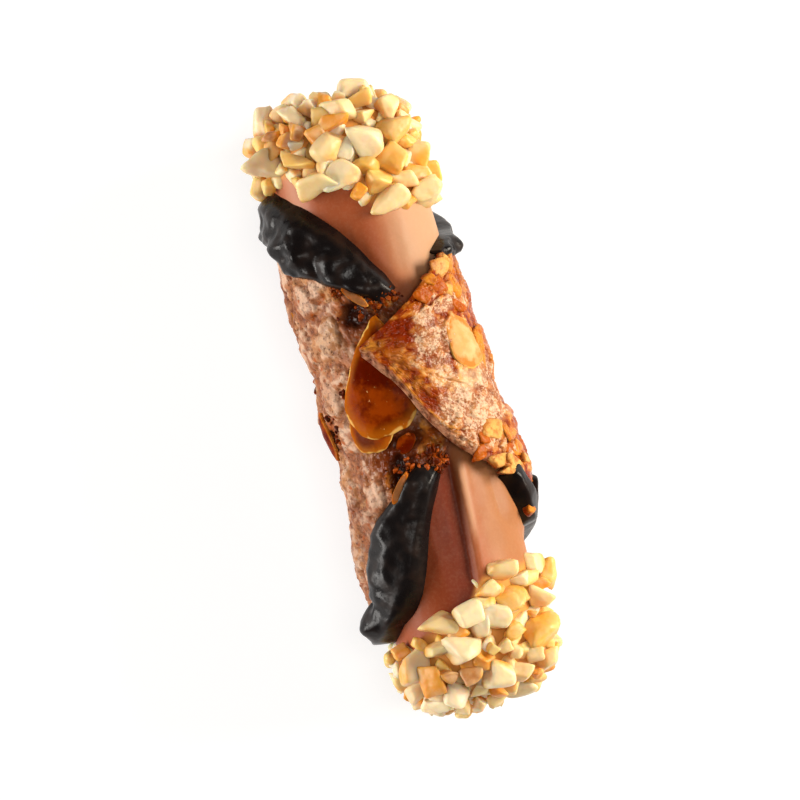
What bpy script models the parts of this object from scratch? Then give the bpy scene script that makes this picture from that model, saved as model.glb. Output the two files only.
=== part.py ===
"""A filled and dipped cannolo, lying down with its open side up.

An almond wafer is rolled round a bar of chocolate cream. Its free corner, the flap, lies over the
first layer and leaves a notch at each end, where the cream shows. The rims are dipped in dark
chocolate, each end of the cream is pressed into chopped nuts, and sliced almonds are baked onto
the wafer.

Frame, in metres: the roll lies along Y, its open side faces +Z, and it rests on the plane Z = 0,
with the origin under the middle of its bounding box. A place on the roll is given by its angle
round the axis, in degrees from straight up towards +X, by its distance along the axis, and by its
radius. The wafer is one sheet: it starts at the flap's tip, runs once round the roll, and goes on
under its own flap, so that its angles run from FLAP_TIP_ANGLE to TUCKED_END_ANGLE.
"""

import bmesh
import bpy
import numpy as np

MM = 0.001

# Driving dimensions
CREAM_RADIUS = 15.0 * MM
CREAM_END_RADIUS = 14.6 * MM
CREAM_HALF_LENGTH = 60.5 * MM
CREAM_DOME_START = 50.0 * MM
WAFER_THICKNESS = 2.0 * MM
FLAP_LIFT = 3.4 * MM
CHOCOLATE_THICKNESS = 1.2 * MM
CHOCOLATE_OVERHANG = 1.8 * MM
NUT_CRUST_THICKNESS = 3.7 * MM
NUT_LUMP_HEIGHT = 0.95 * MM
NUT_LUMP_RADIUS = 4.2 * MM
NUT_LUMPS = 90
NUT_EDGE_SLOPE = 1.4 * MM
ALMOND_THICKNESS = 0.75 * MM
FIT_GAP = 0.35 * MM
DIP_GAP = 0.5 * MM
AXIS_HEIGHT = 18.4 * MM  # a little under the chocolate's radius, so it stands on two set flats

# The sheet's ends, in degrees round the roll
FLAP_TIP_ANGLE = -20.0
TUCKED_END_ANGLE = 402.0

# The sheet's two long rims: (angle in degrees, place along the axis in mm)
UPPER_RIM = [
    (-20, 12.6), (0, 16), (19, 19.5), (45, 25), (62, 28), (90, 30.5), (120, 35), (180, 42.5),
    (250, 45), (290, 44.6), (322, 40), (343, 33.4), (360, 25.6), (379, 18), (402, 10),
]
LOWER_RIM = [
    (-20, 10.4), (0, 2), (18, -8.5), (33, -13.6), (54, -18.6), (70, -26), (90, -29.5),
    (120, -32.8), (180, -42), (250, -45.4), (290, -44.6), (314, -40.4), (332, -34), (346, -24.8),
    (360, -17.5), (379, -11.6), (402, -4),
]

# How far the dip reaches onto the wafer from each rim: (angle in degrees, width in mm)
UPPER_DIP = [(50, 2.2), (66, 4), (90, 6), (150, 8.5), (270, 9), (322, 11), (343, 9), (360, 4.6), (368, 3)]
LOWER_DIP = [(60, 2.5), (72, 5), (90, 9), (150, 9), (270, 8.5), (310, 9), (340, 10), (354, 5.5), (364, 3)]

# Where the nuts stop on each end of the cream: (angle in degrees, place along the axis in mm)
NUT_EDGE = [
    (-90, 47.6), (-66, 47.6), (-50, 47), (-36, 45), (-6, 43.2), (6, 40), (17, 36.6), (45, 35.6),
    (90, 35.5), (120, 38), (180, 45.5), (250, 47.6), (270, 47.6),
]

# Sliced almonds: name, angle, place along (mm), heading (deg), length (mm), width (mm), tilt
ALMONDS = [
    ("almond_slice_large", -16.0, 4.0, 72.0, 21.0, 14.6, 0.0),
    ("almond_slice_right", 53.0, 8.2, 118.0, 13.5, 9.5, 0.10),
    ("almond_slice_left", -79.0, -3.4, 80.0, 11.0, 6.5, -0.08),
    ("almond_slice_left_high", -83.0, 20.6, 95.0, 8.5, 5.5, -0.06),
    ("almond_slice_low", -2.0, -9.6, 10.0, 7.6, 3.6, 0.0),
    ("almond_sliver_upper", -22.0, 20.0, 135.0, 7.0, 2.2, 0.35),
    ("almond_sliver_lower", -29.0, -15.6, 40.0, 7.0, 2.2, 0.35),
]

# Mesh densities
WAFER_COLUMNS = 62
WAFER_OUTER_ROWS = 15
WAFER_INNER_ROWS = 7
CREAM_COLUMNS = 32
CREAM_RINGS = 25
NUT_COLUMNS = 32
NUT_SIDE_ROWS = 4
NUT_END_ROWS = 7
RIM_STATIONS = 44
ALMOND_SIDES = 14


def smooth01(t):
    """0 below 0, 1 above 1, and a smooth S between."""
    t = np.clip(t, 0.0, 1.0)
    return t * t * (3.0 - 2.0 * t)


def through(knots, at):
    """Values of the smooth curve through (position, value) knots, by cubic Hermite spans."""
    x, y = np.array(knots, float).T
    slope = np.gradient(y, x)
    at = np.clip(at, x[0], x[-1])
    i = np.clip(np.searchsorted(x, at) - 1, 0, len(x) - 2)
    span = x[i + 1] - x[i]
    t = (at - x[i]) / span
    rise = t * t * (3 - 2 * t)
    bend_in = t * (1 - t) ** 2 * span * slope[i]
    bend_out = -t * t * (1 - t) * span * slope[i + 1]
    return y[i] + rise * (y[i + 1] - y[i]) + bend_in + bend_out


def upper_rim(angle):
    return through(UPPER_RIM, angle) * MM


def lower_rim(angle):
    return through(LOWER_RIM, angle) * MM


def flap_lift(angle, along):
    """How far the sheet stands off the roll: it spirals out to FLAP_LIFT towards the flap's tip.
    The spiral starts further back at the lower end, so the flap flares there."""
    starts_at = 160.0 - 2.5 * along / MM
    full_at = 10.0
    return FLAP_LIFT * smooth01((starts_at - angle) / np.maximum(starts_at - full_at, 30.0))


def wafer_inner(angle, along):
    return CREAM_RADIUS + FIT_GAP + flap_lift(angle, along)


def wafer_relief(angle, along):
    """Slow lumps of the baked sheet, which fade out where the flap covers it."""
    a = np.radians(angle)
    y = along / MM
    waves = np.sin(3 * a + 0.16 * y) + 0.8 * np.sin(5 * a - 0.23 * y + 1.0)
    shown = smooth01((332.0 - angle) / 20.0) * smooth01((angle + 5.0) / 25.0)
    swell = 0.9 * np.exp(-(((angle - 98) / 26) ** 2) - ((y + 15) / 9) ** 2)
    flare = 0.7 * np.exp(-(((angle - 272) / 30) ** 2) - ((np.abs(y) - 40) / 14) ** 2)
    return (0.16 * waves * shown + swell + flare) * MM


def wafer_outer(angle, along):
    return wafer_inner(angle, along) + WAFER_THICKNESS + wafer_relief(angle, along)


def notch_depth(angle, along):
    """How far a place at the front lies outside the sheet's first layer; below 0 is under it."""
    layer = angle + 360.0
    outside = np.maximum(along - upper_rim(layer), lower_rim(layer) - along)
    past_the_end = (layer - TUCKED_END_ANGLE) * 0.3 * MM
    return np.maximum(outside, past_the_end)


def cream_bulge(angle, along):
    """The cream swells out of both notches, with a fold whose right side stands higher."""
    open_end = smooth01((46.0 * MM - np.abs(along)) / (12.0 * MM))
    clear = smooth01((notch_depth(angle, along) - 1.5 * MM) / (7.0 * MM))
    fold_angle = np.where(along > 0, 6.0, 12.0)
    hump = smooth01((angle - fold_angle + 8.0) / 16.0) * np.exp(-(((angle - 20.0) / 34.0) ** 2))
    return 2.0 * MM * hump * clear * open_end


def cream_fill(angle, along):
    """The cream fills the room that the spiral leaves under the flap's right side."""
    side = smooth01((angle - 44.0) / 18.0)
    middle = smooth01((25.0 * MM - np.abs(along)) / (9.0 * MM))
    return flap_lift(angle, along) * side * middle


def cream_radius(angle, along):
    """angle is from -180 to 180. The ends are slimmer than the middle and close in a dome."""
    far = np.abs(along)
    slim = smooth01((far - 30.0 * MM) / (15.0 * MM))
    body = CREAM_RADIUS + (CREAM_END_RADIUS - CREAM_RADIUS) * slim
    swollen = np.maximum(cream_bulge(angle, along), cream_fill(angle, along))
    dome = np.clip((far - CREAM_DOME_START) / (CREAM_HALF_LENGTH - CREAM_DOME_START), 0, 1)
    return (body + swollen) * (1.0 - dome**2.6) ** (1 / 2.6)


def front_angle(angle):
    """The same direction round the roll, from -180 to 180 degrees."""
    return (angle + 180.0) % 360.0 - 180.0


def place(angle, along, radius):
    """Points in metres of a place on the roll, kept above the surface that it lies on."""
    angle, along, radius = np.broadcast_arrays(angle, along, radius)
    a = np.radians(angle)
    z = AXIS_HEIGHT + radius * np.cos(a)
    return np.stack([radius * np.sin(a), along, np.maximum(z, 0.0)], axis=-1)


def make_material(name, colour, roughness):
    material = bpy.data.materials.new(name)
    material.use_nodes = True
    shader = material.node_tree.nodes["Principled BSDF"]
    shader.inputs["Base Color"].default_value = (*colour, 1.0)
    shader.inputs["Roughness"].default_value = roughness
    shader.inputs["Metallic"].default_value = 0.0
    return material


def loft(name, loops, material):
    """One closed solid through a row of loops of points, its first and last loops filled in."""
    work = bmesh.new()
    rings = [[work.verts.new(point) for point in loop] for loop in loops.tolist()]
    for ring, following in zip(rings, rings[1:]):
        for i in range(len(ring)):
            work.faces.new((ring[i - 1], ring[i], following[i], following[i - 1]))
    work.faces.new(rings[0])
    work.faces.new(rings[-1])
    bmesh.ops.recalc_face_normals(work, faces=work.faces)
    bmesh.ops.triangulate(work, faces=work.faces)
    mesh = bpy.data.meshes.new(name)
    work.to_mesh(mesh)
    work.free()
    mesh.shade_smooth()
    mesh.materials.append(material)
    solid = bpy.data.objects.new(name, mesh)
    bpy.context.scene.collection.objects.link(solid)
    return solid


def build_wafer():
    """The rolled sheet: each loop is its flattened cross-section at one angle round the roll."""
    angle = np.linspace(FLAP_TIP_ANGLE, TUCKED_END_ANGLE, WAFER_COLUMNS)[:, None]
    low, high = lower_rim(angle), upper_rim(angle)
    bevel = 0.6 * MM
    up = np.linspace(0, 1, WAFER_OUTER_ROWS)[None, :]
    down = np.linspace(1, 0, WAFER_INNER_ROWS)[None, :]
    outer_y = (low + bevel) + (high - low - 2 * bevel) * up
    inner_y = (low + bevel) + (high - low - 2 * bevel) * down
    middle = WAFER_THICKNESS / 2
    loops = [
        place(angle, outer_y, wafer_outer(angle, outer_y)),
        place(angle, high, wafer_inner(angle, high) + middle),
        place(angle, inner_y, wafer_inner(angle, inner_y)),
        place(angle, low, wafer_inner(angle, low) + middle),
    ]
    material = make_material("wafer", (0.42, 0.17, 0.07), 0.55)
    return loft("wafer_shell", np.concatenate(loops, axis=1), material)


def build_cream():
    """A bar of cream through the whole roll, as rings round the axis from end to end."""
    reach = np.sin(np.radians(np.linspace(-88.5, 88.5, CREAM_RINGS)))
    along = (CREAM_HALF_LENGTH * (0.55 * reach + 0.45 * reach**3))[:, None]
    along = np.where(np.abs(along) > CREAM_HALF_LENGTH * 0.999, along * 0.999, along)
    angle = np.linspace(-180, 180, CREAM_COLUMNS, endpoint=False)[None, :]
    loops = place(angle, along, cream_radius(angle, along))
    return loft("cream_filling", loops, make_material("cream", (0.45, 0.19, 0.12), 0.45))


def inward_normals(angle, rim, side):
    """Unit directions from the rim onto the sheet, as (round the roll, along), smoothed at corners."""
    arc = np.radians(angle) * (CREAM_RADIUS + WAFER_THICKNESS)
    step = np.stack([np.gradient(arc), np.gradient(rim)], axis=1)
    normal = np.stack([step[:, 1], -step[:, 0]], axis=1) * side
    normal /= np.linalg.norm(normal, axis=1, keepdims=True)
    soft = np.array([1, 2, 3, 2, 1]) / 9.0
    padded = np.pad(normal, ((2, 2), (0, 0)), mode="edge")
    normal = np.stack([np.convolve(padded[:, k], soft, "valid") for k in (0, 1)], axis=1)
    return normal / np.linalg.norm(normal, axis=1, keepdims=True)


def build_chocolate(name, rim_of, dip, side):
    """The set dip: it lies on the sheet, wraps round its rim, and closes against the cream.
    side is 1 at the upper end and -1 at the lower one."""
    angle = np.linspace(dip[0][0], dip[-1][0], RIM_STATIONS)
    rim = rim_of(angle)
    width = through(dip, angle) * MM
    normal = inward_normals(angle, rim, side)
    taper = smooth01((angle - angle[0] + 4) / 12) * smooth01((angle[-1] - angle + 4) / 12)
    thick = CHOCOLATE_THICKNESS * (0.45 + 0.55 * taper)
    over = CHOCOLATE_OVERHANG * (0.6 + 0.4 * taper)
    per_degree = np.radians(1.0) * (CREAM_RADIUS + WAFER_THICKNESS)

    def at(inward):
        return angle + normal[:, 0] * inward / per_degree, rim + normal[:, 1] * inward

    def on_wafer(inward, height):
        a, y = at(inward)
        drips = 1.0 + 0.22 * np.sin(0.19 * a) + 0.18 * np.sin(0.47 * a + side)
        return place(a, y, wafer_outer(a, y) + DIP_GAP + height * drips)

    def on_cream(inward):
        a, y = at(inward)
        return place(a, y, cream_radius(front_angle(a), y) + DIP_GAP)

    def at_tip(inward):
        a, y = at(inward)
        return place(a, y, wafer_inner(a, y) + WAFER_THICKNESS / 2)

    edge_gap = -0.4 * MM
    section = [
        on_wafer(width, 0.1 * MM),
        on_wafer(0.7 * width, 0.8 * thick),
        on_wafer(0.3 * width, thick),
        on_wafer(-0.35 * over, 0.9 * thick),
        at_tip(-over),
        on_cream(-0.85 * over),
        on_cream(edge_gap),
        on_wafer(edge_gap, 0.0),
        on_wafer(0.5 * width, 0.0),
    ]
    material = make_material(name, (0.012, 0.008, 0.007), 0.2)
    return loft(name, np.stack(section, axis=1), material)


def nut_edge(angle, side):
    """Where the crust stops: as pressed, but always clear of the dipped rim."""
    wrapped = np.where(angle < -90, angle + 360, angle)
    edge = through(NUT_EDGE, wrapped) * MM
    layer = np.where(angle < 45, angle + 360, angle)
    rim = upper_rim(layer) if side > 0 else -lower_rim(layer)
    return np.maximum(edge, rim + CHOCOLATE_OVERHANG + 0.6 * MM)


def cap_rings(angle, start, outset):
    """Rings of an end cap that stands outset outside the cream: up its side, then over its end.
    Gives each point's distance along the roll and its radius."""
    climb = np.linspace(0, 1, NUT_SIDE_ROWS, endpoint=False)[:, None]
    side_along = start + (CREAM_DOME_START - start) * climb
    side_radius = cream_radius(angle, side_along)
    turn = np.radians(np.linspace(0, 86, NUT_END_ROWS))[:, None]
    roundness = 2 / 2.6
    end_along = CREAM_DOME_START + 0 * angle * turn
    end_radius = CREAM_END_RADIUS * np.ones_like(end_along)
    across = np.vstack([np.ones_like(climb), np.cos(turn) ** roundness])
    beyond = np.vstack([np.zeros_like(climb), np.sin(turn) ** roundness])
    reach = CREAM_HALF_LENGTH - CREAM_DOME_START + outset
    along = np.vstack([side_along, end_along]) + reach * beyond
    radius = (np.vstack([side_radius, end_radius]) + outset) * across
    return along, radius


def nut_lumps(points, rng):
    """The rise of a heap of rounded lumps, one at each of some points picked from the surface."""
    surface = points.reshape(-1, 3)
    peaks = surface[rng.choice(len(surface), NUT_LUMPS, replace=False)]
    nearest = np.linalg.norm(points[..., None, :] - peaks, axis=-1).min(axis=-1)
    return NUT_LUMP_HEIGHT * (1.0 - 2.0 * np.clip(nearest / NUT_LUMP_RADIUS, 0, 1) ** 2)


def build_nut_crust(name, side, seed):
    """A cap of pressed nuts over one end of the cream, out to its uneven outline."""
    angle = np.linspace(-180, 180, NUT_COLUMNS, endpoint=False)[None, :]
    start = nut_edge(angle, side)
    along, radius = cap_rings(angle, start, FIT_GAP)
    inner = place(angle, side * along, radius)
    thickness = FIT_GAP + NUT_CRUST_THICKNESS
    along, radius = cap_rings(angle, start, thickness)
    lumps = nut_lumps(place(angle, along, radius), np.random.default_rng(seed))
    along, radius = cap_rings(angle, start, thickness + lumps)
    radius[0] -= NUT_EDGE_SLOPE
    outer = place(angle, side * along, radius)
    loops = np.concatenate([inner[::-1], outer])
    return loft(name, loops, make_material(name, (0.78, 0.55, 0.26), 0.5))


def build_almond(name, centre_angle, centre_along, heading, length, width, tilt):
    """A thin slice in the outline of an almond, curved to the wafer, on which it lies."""
    turn = np.radians(np.linspace(0, 360, ALMOND_SIDES, endpoint=False))
    to_tip = 0.5 * length * np.cos(turn) * MM
    across = 0.5 * width * np.sin(turn) * (1 - 0.35 * np.cos(turn)) * MM
    h = np.radians(heading)
    around = to_tip * np.cos(h) - across * np.sin(h)
    along = to_tip * np.sin(h) + across * np.cos(h)
    under_flap = name == "almond_slice_large" or name == "almond_slice_low"
    first_layer = centre_angle + (360.0 if centre_angle < FLAP_TIP_ANGLE or under_flap else 0.0)
    base_radius = wafer_outer(first_layer, centre_along * MM)
    per_degree = np.radians(1.0) * base_radius

    def ring(scale, height):
        a = first_layer + scale * around / per_degree
        y = centre_along * MM + scale * along
        stand = tilt * scale * across + abs(tilt) * 0.5 * width * MM
        return place(a, y, wafer_outer(a, y) + FIT_GAP + height + stand)

    rings = [
        ring(0.15, 0.0),
        ring(0.85, 0.0),
        ring(1.0, 0.4 * ALMOND_THICKNESS),
        ring(0.9, 0.95 * ALMOND_THICKNESS),
        ring(0.15, ALMOND_THICKNESS),
    ]
    return loft(name, np.stack(rings), make_material(name, (0.62, 0.36, 0.12), 0.4))


def stand_on_origin(objects):
    """Moves the whole part so that its bounding box stands centred on the origin."""
    points = np.array([v.co[:] for obj in objects for v in obj.data.vertices])
    low, high = points.min(0), points.max(0)
    shift = np.array([-(low[0] + high[0]) / 2, -(low[1] + high[1]) / 2, -low[2]])
    for obj in objects:
        obj.location = shift.tolist()


def main():
    for obj in list(bpy.data.objects):
        bpy.data.objects.remove(obj)
    objects = [
        build_wafer(),
        build_cream(),
        build_chocolate("chocolate_rim_upper", upper_rim, UPPER_DIP, 1),
        build_chocolate("chocolate_rim_lower", lower_rim, LOWER_DIP, -1),
        build_nut_crust("nut_crust_upper", 1, seed=4),
        build_nut_crust("nut_crust_lower", -1, seed=9),
    ]
    objects += [build_almond(*almond) for almond in ALMONDS]
    stand_on_origin(objects)


main()
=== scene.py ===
# %% [markdown]
# # A filled and dipped cannolo
#
# This notebook finishes a cannolo, a rolled almond wafer full of chocolate cream. The rims are
# dipped in dark chocolate and both ends are pressed into chopped nuts. The plain solids come from
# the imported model, and every cell below makes one visible piece or one finish around them. The
# roll lies along Y with its open side up, so most shapes are worked out as an angle round the
# roll, a distance along it and a radius.

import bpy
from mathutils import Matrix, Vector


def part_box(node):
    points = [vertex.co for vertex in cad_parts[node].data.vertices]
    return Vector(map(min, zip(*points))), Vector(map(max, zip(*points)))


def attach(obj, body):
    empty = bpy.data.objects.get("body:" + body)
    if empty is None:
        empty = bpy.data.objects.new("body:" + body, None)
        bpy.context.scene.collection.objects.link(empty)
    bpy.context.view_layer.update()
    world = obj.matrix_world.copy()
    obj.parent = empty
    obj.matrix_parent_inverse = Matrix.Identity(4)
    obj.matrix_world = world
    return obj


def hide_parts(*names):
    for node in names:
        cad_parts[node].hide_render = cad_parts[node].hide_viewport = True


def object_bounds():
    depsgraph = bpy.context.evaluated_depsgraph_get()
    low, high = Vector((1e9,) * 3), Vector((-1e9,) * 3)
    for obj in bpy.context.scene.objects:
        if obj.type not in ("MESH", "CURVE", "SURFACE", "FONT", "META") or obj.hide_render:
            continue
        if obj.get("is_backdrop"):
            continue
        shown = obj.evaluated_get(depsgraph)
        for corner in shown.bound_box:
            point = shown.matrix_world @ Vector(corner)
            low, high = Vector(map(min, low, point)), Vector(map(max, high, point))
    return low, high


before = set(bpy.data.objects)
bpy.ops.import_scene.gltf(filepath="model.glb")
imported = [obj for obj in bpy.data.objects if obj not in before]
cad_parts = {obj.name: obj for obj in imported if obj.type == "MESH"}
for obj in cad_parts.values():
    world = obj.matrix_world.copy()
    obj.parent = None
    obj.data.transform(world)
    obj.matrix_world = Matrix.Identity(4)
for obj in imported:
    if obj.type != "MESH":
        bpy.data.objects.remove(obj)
cad_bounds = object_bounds()
print("solids in the frame:", ", ".join(sorted(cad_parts)))

# %% [markdown]
# ## Measuring round the roll
#
# A pastry cook thinks of a roll by its wrap, so a place on it is an angle, a distance along and a
# radius. The axis is found from the cream's own box. All sizes are in millimetres until a mesh is
# made, because food details are easiest to judge in them.

import bpy
import numpy as np

MM = 0.001
CREAM_RADIUS = 15.0
CREAM_END_RADIUS = 14.6
CREAM_HALF_LENGTH = 60.5
CREAM_DOME_START = 50.0
WAFER_THICKNESS = 2.0
FIT_GAP = 0.35
FLAP_LIFT = 3.4
FLAP_TIP_ANGLE, TUCKED_END_ANGLE = -17.5, 402.0
ARC_PER_DEGREE = np.radians(1.0) * (CREAM_RADIUS + WAFER_THICKNESS + FIT_GAP)

cream_low, cream_high = (np.array(corner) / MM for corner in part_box("cream_filling"))
AXIS_X = cream_low[0] + CREAM_RADIUS
AXIS_Y = (cream_low[1] + cream_high[1]) / 2
AXIS_Z = cream_low[2] + CREAM_RADIUS


def on_roll(angle, along, radius):
    """Points at an angle round the axis (0 is up, 90 is +X), a distance along it and a radius:
    x is r sin a and z is r cos a. Nothing goes under the surface that the roll lies on."""
    a = np.radians(angle)
    x = AXIS_X + radius * np.sin(a)
    z = np.maximum(AXIS_Z + radius * np.cos(a), 0.02)
    return np.stack(np.broadcast_arrays(x, AXIS_Y + along, z), axis=-1)


print(f"axis at x {AXIS_X:.2f}, y {AXIS_Y:.2f}, z {AXIS_Z:.2f} mm")

# %% [markdown]
# ## Curves, lumps and crumbs from formulas
#
# Baked and chopped food is uneven everywhere, but each kind of unevenness has its own character.
# Three fields cover them: a smooth curve through a few knots for profiles, rolling hills for
# dough that swelled in the oven, and cells for crumbs and flakes that lie side by side.


# %% Fields for uneven food
def smooth01(t):
    """0 below 0, 1 above 1, and 3t^2 - 2t^3 between."""
    t = np.clip(t, 0.0, 1.0)
    return t * t * (3.0 - 2.0 * t)


def through(knots, at):
    """The smooth curve through (position, value) knots: a cubic Hermite span between each two."""
    x, y = np.array(knots, float).T
    slope = np.gradient(y, x)
    at = np.clip(at, x[0], x[-1])
    i = np.clip(np.searchsorted(x, at) - 1, 0, len(x) - 2)
    span = x[i + 1] - x[i]
    t = (at - x[i]) / span
    bend = t * (1 - t) ** 2 * span * slope[i] - t * t * (1 - t) * span * slope[i + 1]
    return y[i] + t * t * (3 - 2 * t) * (y[i + 1] - y[i]) + bend


def hills(u, v, seed):
    """Smooth random hills from -1 to 1: random heights at whole numbers, blended by smooth01."""
    table = np.random.default_rng(seed).uniform(-1, 1, (64, 64))
    u, v = np.broadcast_arrays(u, v)
    column, row = np.floor(u).astype(int), np.floor(v).astype(int)
    across, up = smooth01(u - column), smooth01(v - row)
    low, high = (
        table[column % 64, (row + step) % 64] * (1 - across)
        + table[(column + 1) % 64, (row + step) % 64] * across
        for step in (0, 1)
    )
    return low * (1 - up) + high * up


def rough(u, v, seed, octaves=4):
    """Hills on hills: each octave is twice as fine and half as high as the one before."""
    total = sum(hills(u * 2**k, v * 2**k, seed + k) * 0.5**k for k in range(octaves))
    return total / 1.5


def crumbs(u, v, seed):
    """One random point in each unit square. Gives the distances to the nearest and the second
    nearest point, and a random number from 0 to 1 that belongs to the nearest one."""
    rng = np.random.default_rng(seed)
    shift_u, shift_v, label = rng.uniform(0, 1, (3, 64, 64))
    u, v = np.broadcast_arrays(u, v)
    column, row = np.floor(u).astype(int), np.floor(v).astype(int)
    nearest = np.full(u.shape, 9.0)
    second = nearest.copy()
    owner = np.zeros(u.shape)
    for side in (-1, 0, 1):
        for end in (-1, 0, 1):
            i, j = (column + side) % 64, (row + end) % 64
            gap = np.hypot(column + side + shift_u[i, j] - u, row + end + shift_v[i, j] - v)
            second = np.minimum(second, np.maximum(nearest, gap))
            owner = np.where(gap < nearest, label[i, j], owner)
            nearest = np.minimum(nearest, gap)
    return nearest, second, owner


def patches(angle, along, spots):
    """Soft spots on the wafer: 1 inside each ellipse, fading out past its ragged edge. Each spot
    is (angle, along, half width round the roll, half width along it, strength)."""
    field = np.zeros(np.broadcast(angle, along).shape)
    ragged = 0.35 * rough(angle * ARC_PER_DEGREE / 2.2, along / 2.2, 91, 3)
    for at_angle, at_along, half_round, half_along, strength in spots:
        du = (angle - at_angle) * ARC_PER_DEGREE / half_round
        dv = (along - at_along) / half_along
        field = np.maximum(field, strength * smooth01(1.5 - np.hypot(du, dv) + ragged))
    return field


# %% [markdown]
# ## From arrays to meshes
#
# Each piece is a grid of points, so one function can close it and give it to Blender. The faces
# of a closed shape enclose a positive volume only when they face outwards, which makes a quick
# test of which way round they are.


# %% Closed lofts
def make_piece(name, points, faces):
    """A smooth mesh object from points in mm and closed faces, which are turned to face out."""
    corners = np.array([face[:3] for face in faces])
    first, second, third = (points[corners[:, k]] for k in range(3))
    fourth = points[np.array([face[-1] for face in faces])]
    volume = np.einsum("ij,ij->", first, np.cross(second, third) + np.cross(third, fourth))
    if volume < 0:
        faces = [face[::-1] for face in faces]
    mesh = bpy.data.meshes.new(name)
    mesh.from_pydata((points * MM).tolist(), [], faces)
    mesh.shade_smooth()
    piece = bpy.data.objects.new(name, mesh)
    bpy.context.scene.collection.objects.link(piece)
    return piece


def loft_faces(count, size):
    """Quads between count closed loops of size points, and a fan over each end to a pole point."""
    i, j = np.meshgrid(np.arange(count - 1), np.arange(size), indexing="ij")
    following = (j + 1) % size
    low, low_next = i * size + j, i * size + following
    walls = np.stack([low, low_next, low_next + size, low + size], axis=-1).reshape(-1, 4)
    ring = np.arange(size)
    ring_next = (ring + 1) % size
    start_pole, end_pole = np.full(size, count * size), np.full(size, count * size + 1)
    start = np.stack([start_pole, ring_next, ring], axis=-1)
    end = np.stack([end_pole, ring, ring_next], axis=-1) + [0, (count - 1) * size, (count - 1) * size]
    return walls, np.vstack([start, end])


def loft(name, loops):
    """One closed piece through loops of points, shaped (loops, points in a loop, 3)."""
    walls, caps = loft_faces(*loops.shape[:2])
    points = np.vstack([loops.reshape(-1, 3), loops[0].mean(0), loops[-1].mean(0)])
    return make_piece(name, points, walls.tolist() + caps.tolist())


def store(piece, name, values):
    """Keeps one colour or three numbers per point in the mesh, for its material to read."""
    rows = np.ones((len(piece.data.vertices), 4), np.float32)
    rows[: len(values), :3] = values
    rows[len(values) :, :3] = values[-1]
    layer = piece.data.attributes.new(name, "FLOAT_COLOR", "POINT")
    layer.data.foreach_set("color", rows.ravel())


# %% [markdown]
# ## Material helpers
#
# Every finish is a Principled shader fed by noise on Object coordinates and by the numbers stored
# in the mesh. A few short functions keep each recipe readable: one adds a texture, one blends two
# colours, and one turns heights into bumps.


# %% Node recipes
class Recipe:
    """A new material, with short ways to add the nodes that these finishes use."""

    def __init__(self, name, **values):
        self.material = bpy.data.materials.new(name)
        self.material.use_nodes = True
        self.tree = self.material.node_tree
        self.shader = self.tree.nodes["Principled BSDF"]
        self.place = self.tree.nodes.new("ShaderNodeTexCoord").outputs["Object"]
        for socket, value in values.items():
            self.shader.inputs[socket.replace("_", " ")].default_value = value

    def feed(self, socket, source):
        """Sets a socket to a number or a colour, or links it."""
        if isinstance(source, bpy.types.NodeSocket):
            self.tree.links.new(source, socket)
        elif isinstance(source, tuple):
            socket.default_value = (*source, 1.0)
        else:
            socket.default_value = source

    def noise(self, size_mm, detail=4.0, roughness=0.6):
        """Noise whose largest features are about size_mm across, from 0 to 1."""
        node = self.tree.nodes.new("ShaderNodeTexNoise")
        node.inputs["Scale"].default_value = 1.0 / (size_mm * MM)
        node.inputs["Detail"].default_value = detail
        node.inputs["Roughness"].default_value = roughness
        self.feed(node.inputs["Vector"], self.place)
        return node.outputs["Fac"]

    def dots(self, size_mm):
        """Distance to scattered points about size_mm apart, in those units."""
        node = self.tree.nodes.new("ShaderNodeTexVoronoi")
        node.inputs["Scale"].default_value = 1.0 / (size_mm * MM)
        self.feed(node.inputs["Vector"], self.place)
        return node.outputs["Distance"]

    def stored(self, name):
        """The colour and the three numbers kept in the mesh under a name."""
        node = self.tree.nodes.new("ShaderNodeAttribute")
        node.attribute_name = name
        split = self.tree.nodes.new("ShaderNodeSeparateColor")
        self.feed(split.inputs["Color"], node.outputs["Color"])
        return node.outputs["Color"], list(split.outputs)[:3]

    def math(self, kind, a, b=0.0, clamp=False):
        node = self.tree.nodes.new("ShaderNodeMath")
        node.operation = kind
        node.use_clamp = clamp
        self.feed(node.inputs[0], a)
        self.feed(node.inputs[1], b)
        return node.outputs[0]

    def span(self, value, low, high, to_low=0.0, to_high=1.0):
        """Takes value from the range low..high to the range to_low..to_high, smoothly, clamped."""
        node = self.tree.nodes.new("ShaderNodeMapRange")
        node.interpolation_type = "SMOOTHSTEP"
        for socket, number in zip(node.inputs[:5], (value, low, high, to_low, to_high)):
            self.feed(socket, number)
        return node.outputs["Result"]

    def mix(self, share, a, b):
        """Colour a where share is 0, colour b where it is 1."""
        node = self.tree.nodes.new("ShaderNodeMix")
        node.data_type = "RGBA"
        self.feed(node.inputs["Factor"], share)
        self.feed(node.inputs["A"], a)
        self.feed(node.inputs["B"], b)
        return node.outputs["Result"]

    def bump(self, height, depth_mm, below=None):
        """Bends the normals as if the surface rose by depth_mm where height is 1."""
        node = self.tree.nodes.new("ShaderNodeBump")
        node.inputs["Distance"].default_value = depth_mm * MM
        self.feed(node.inputs["Height"], height)
        if below is not None:
            self.feed(node.inputs["Normal"], below)
        return node.outputs["Normal"]

    def finish(self, colour, roughness=None, normal=None):
        """Plugs the finished colour, roughness and normal into the shader."""
        self.feed(self.shader.inputs["Base Color"], colour)
        if roughness is not None:
            self.feed(self.shader.inputs["Roughness"], roughness)
        if normal is not None:
            self.feed(self.shader.inputs["Normal"], normal)
        print("finish:", self.material.name)
        return self.material


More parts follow.
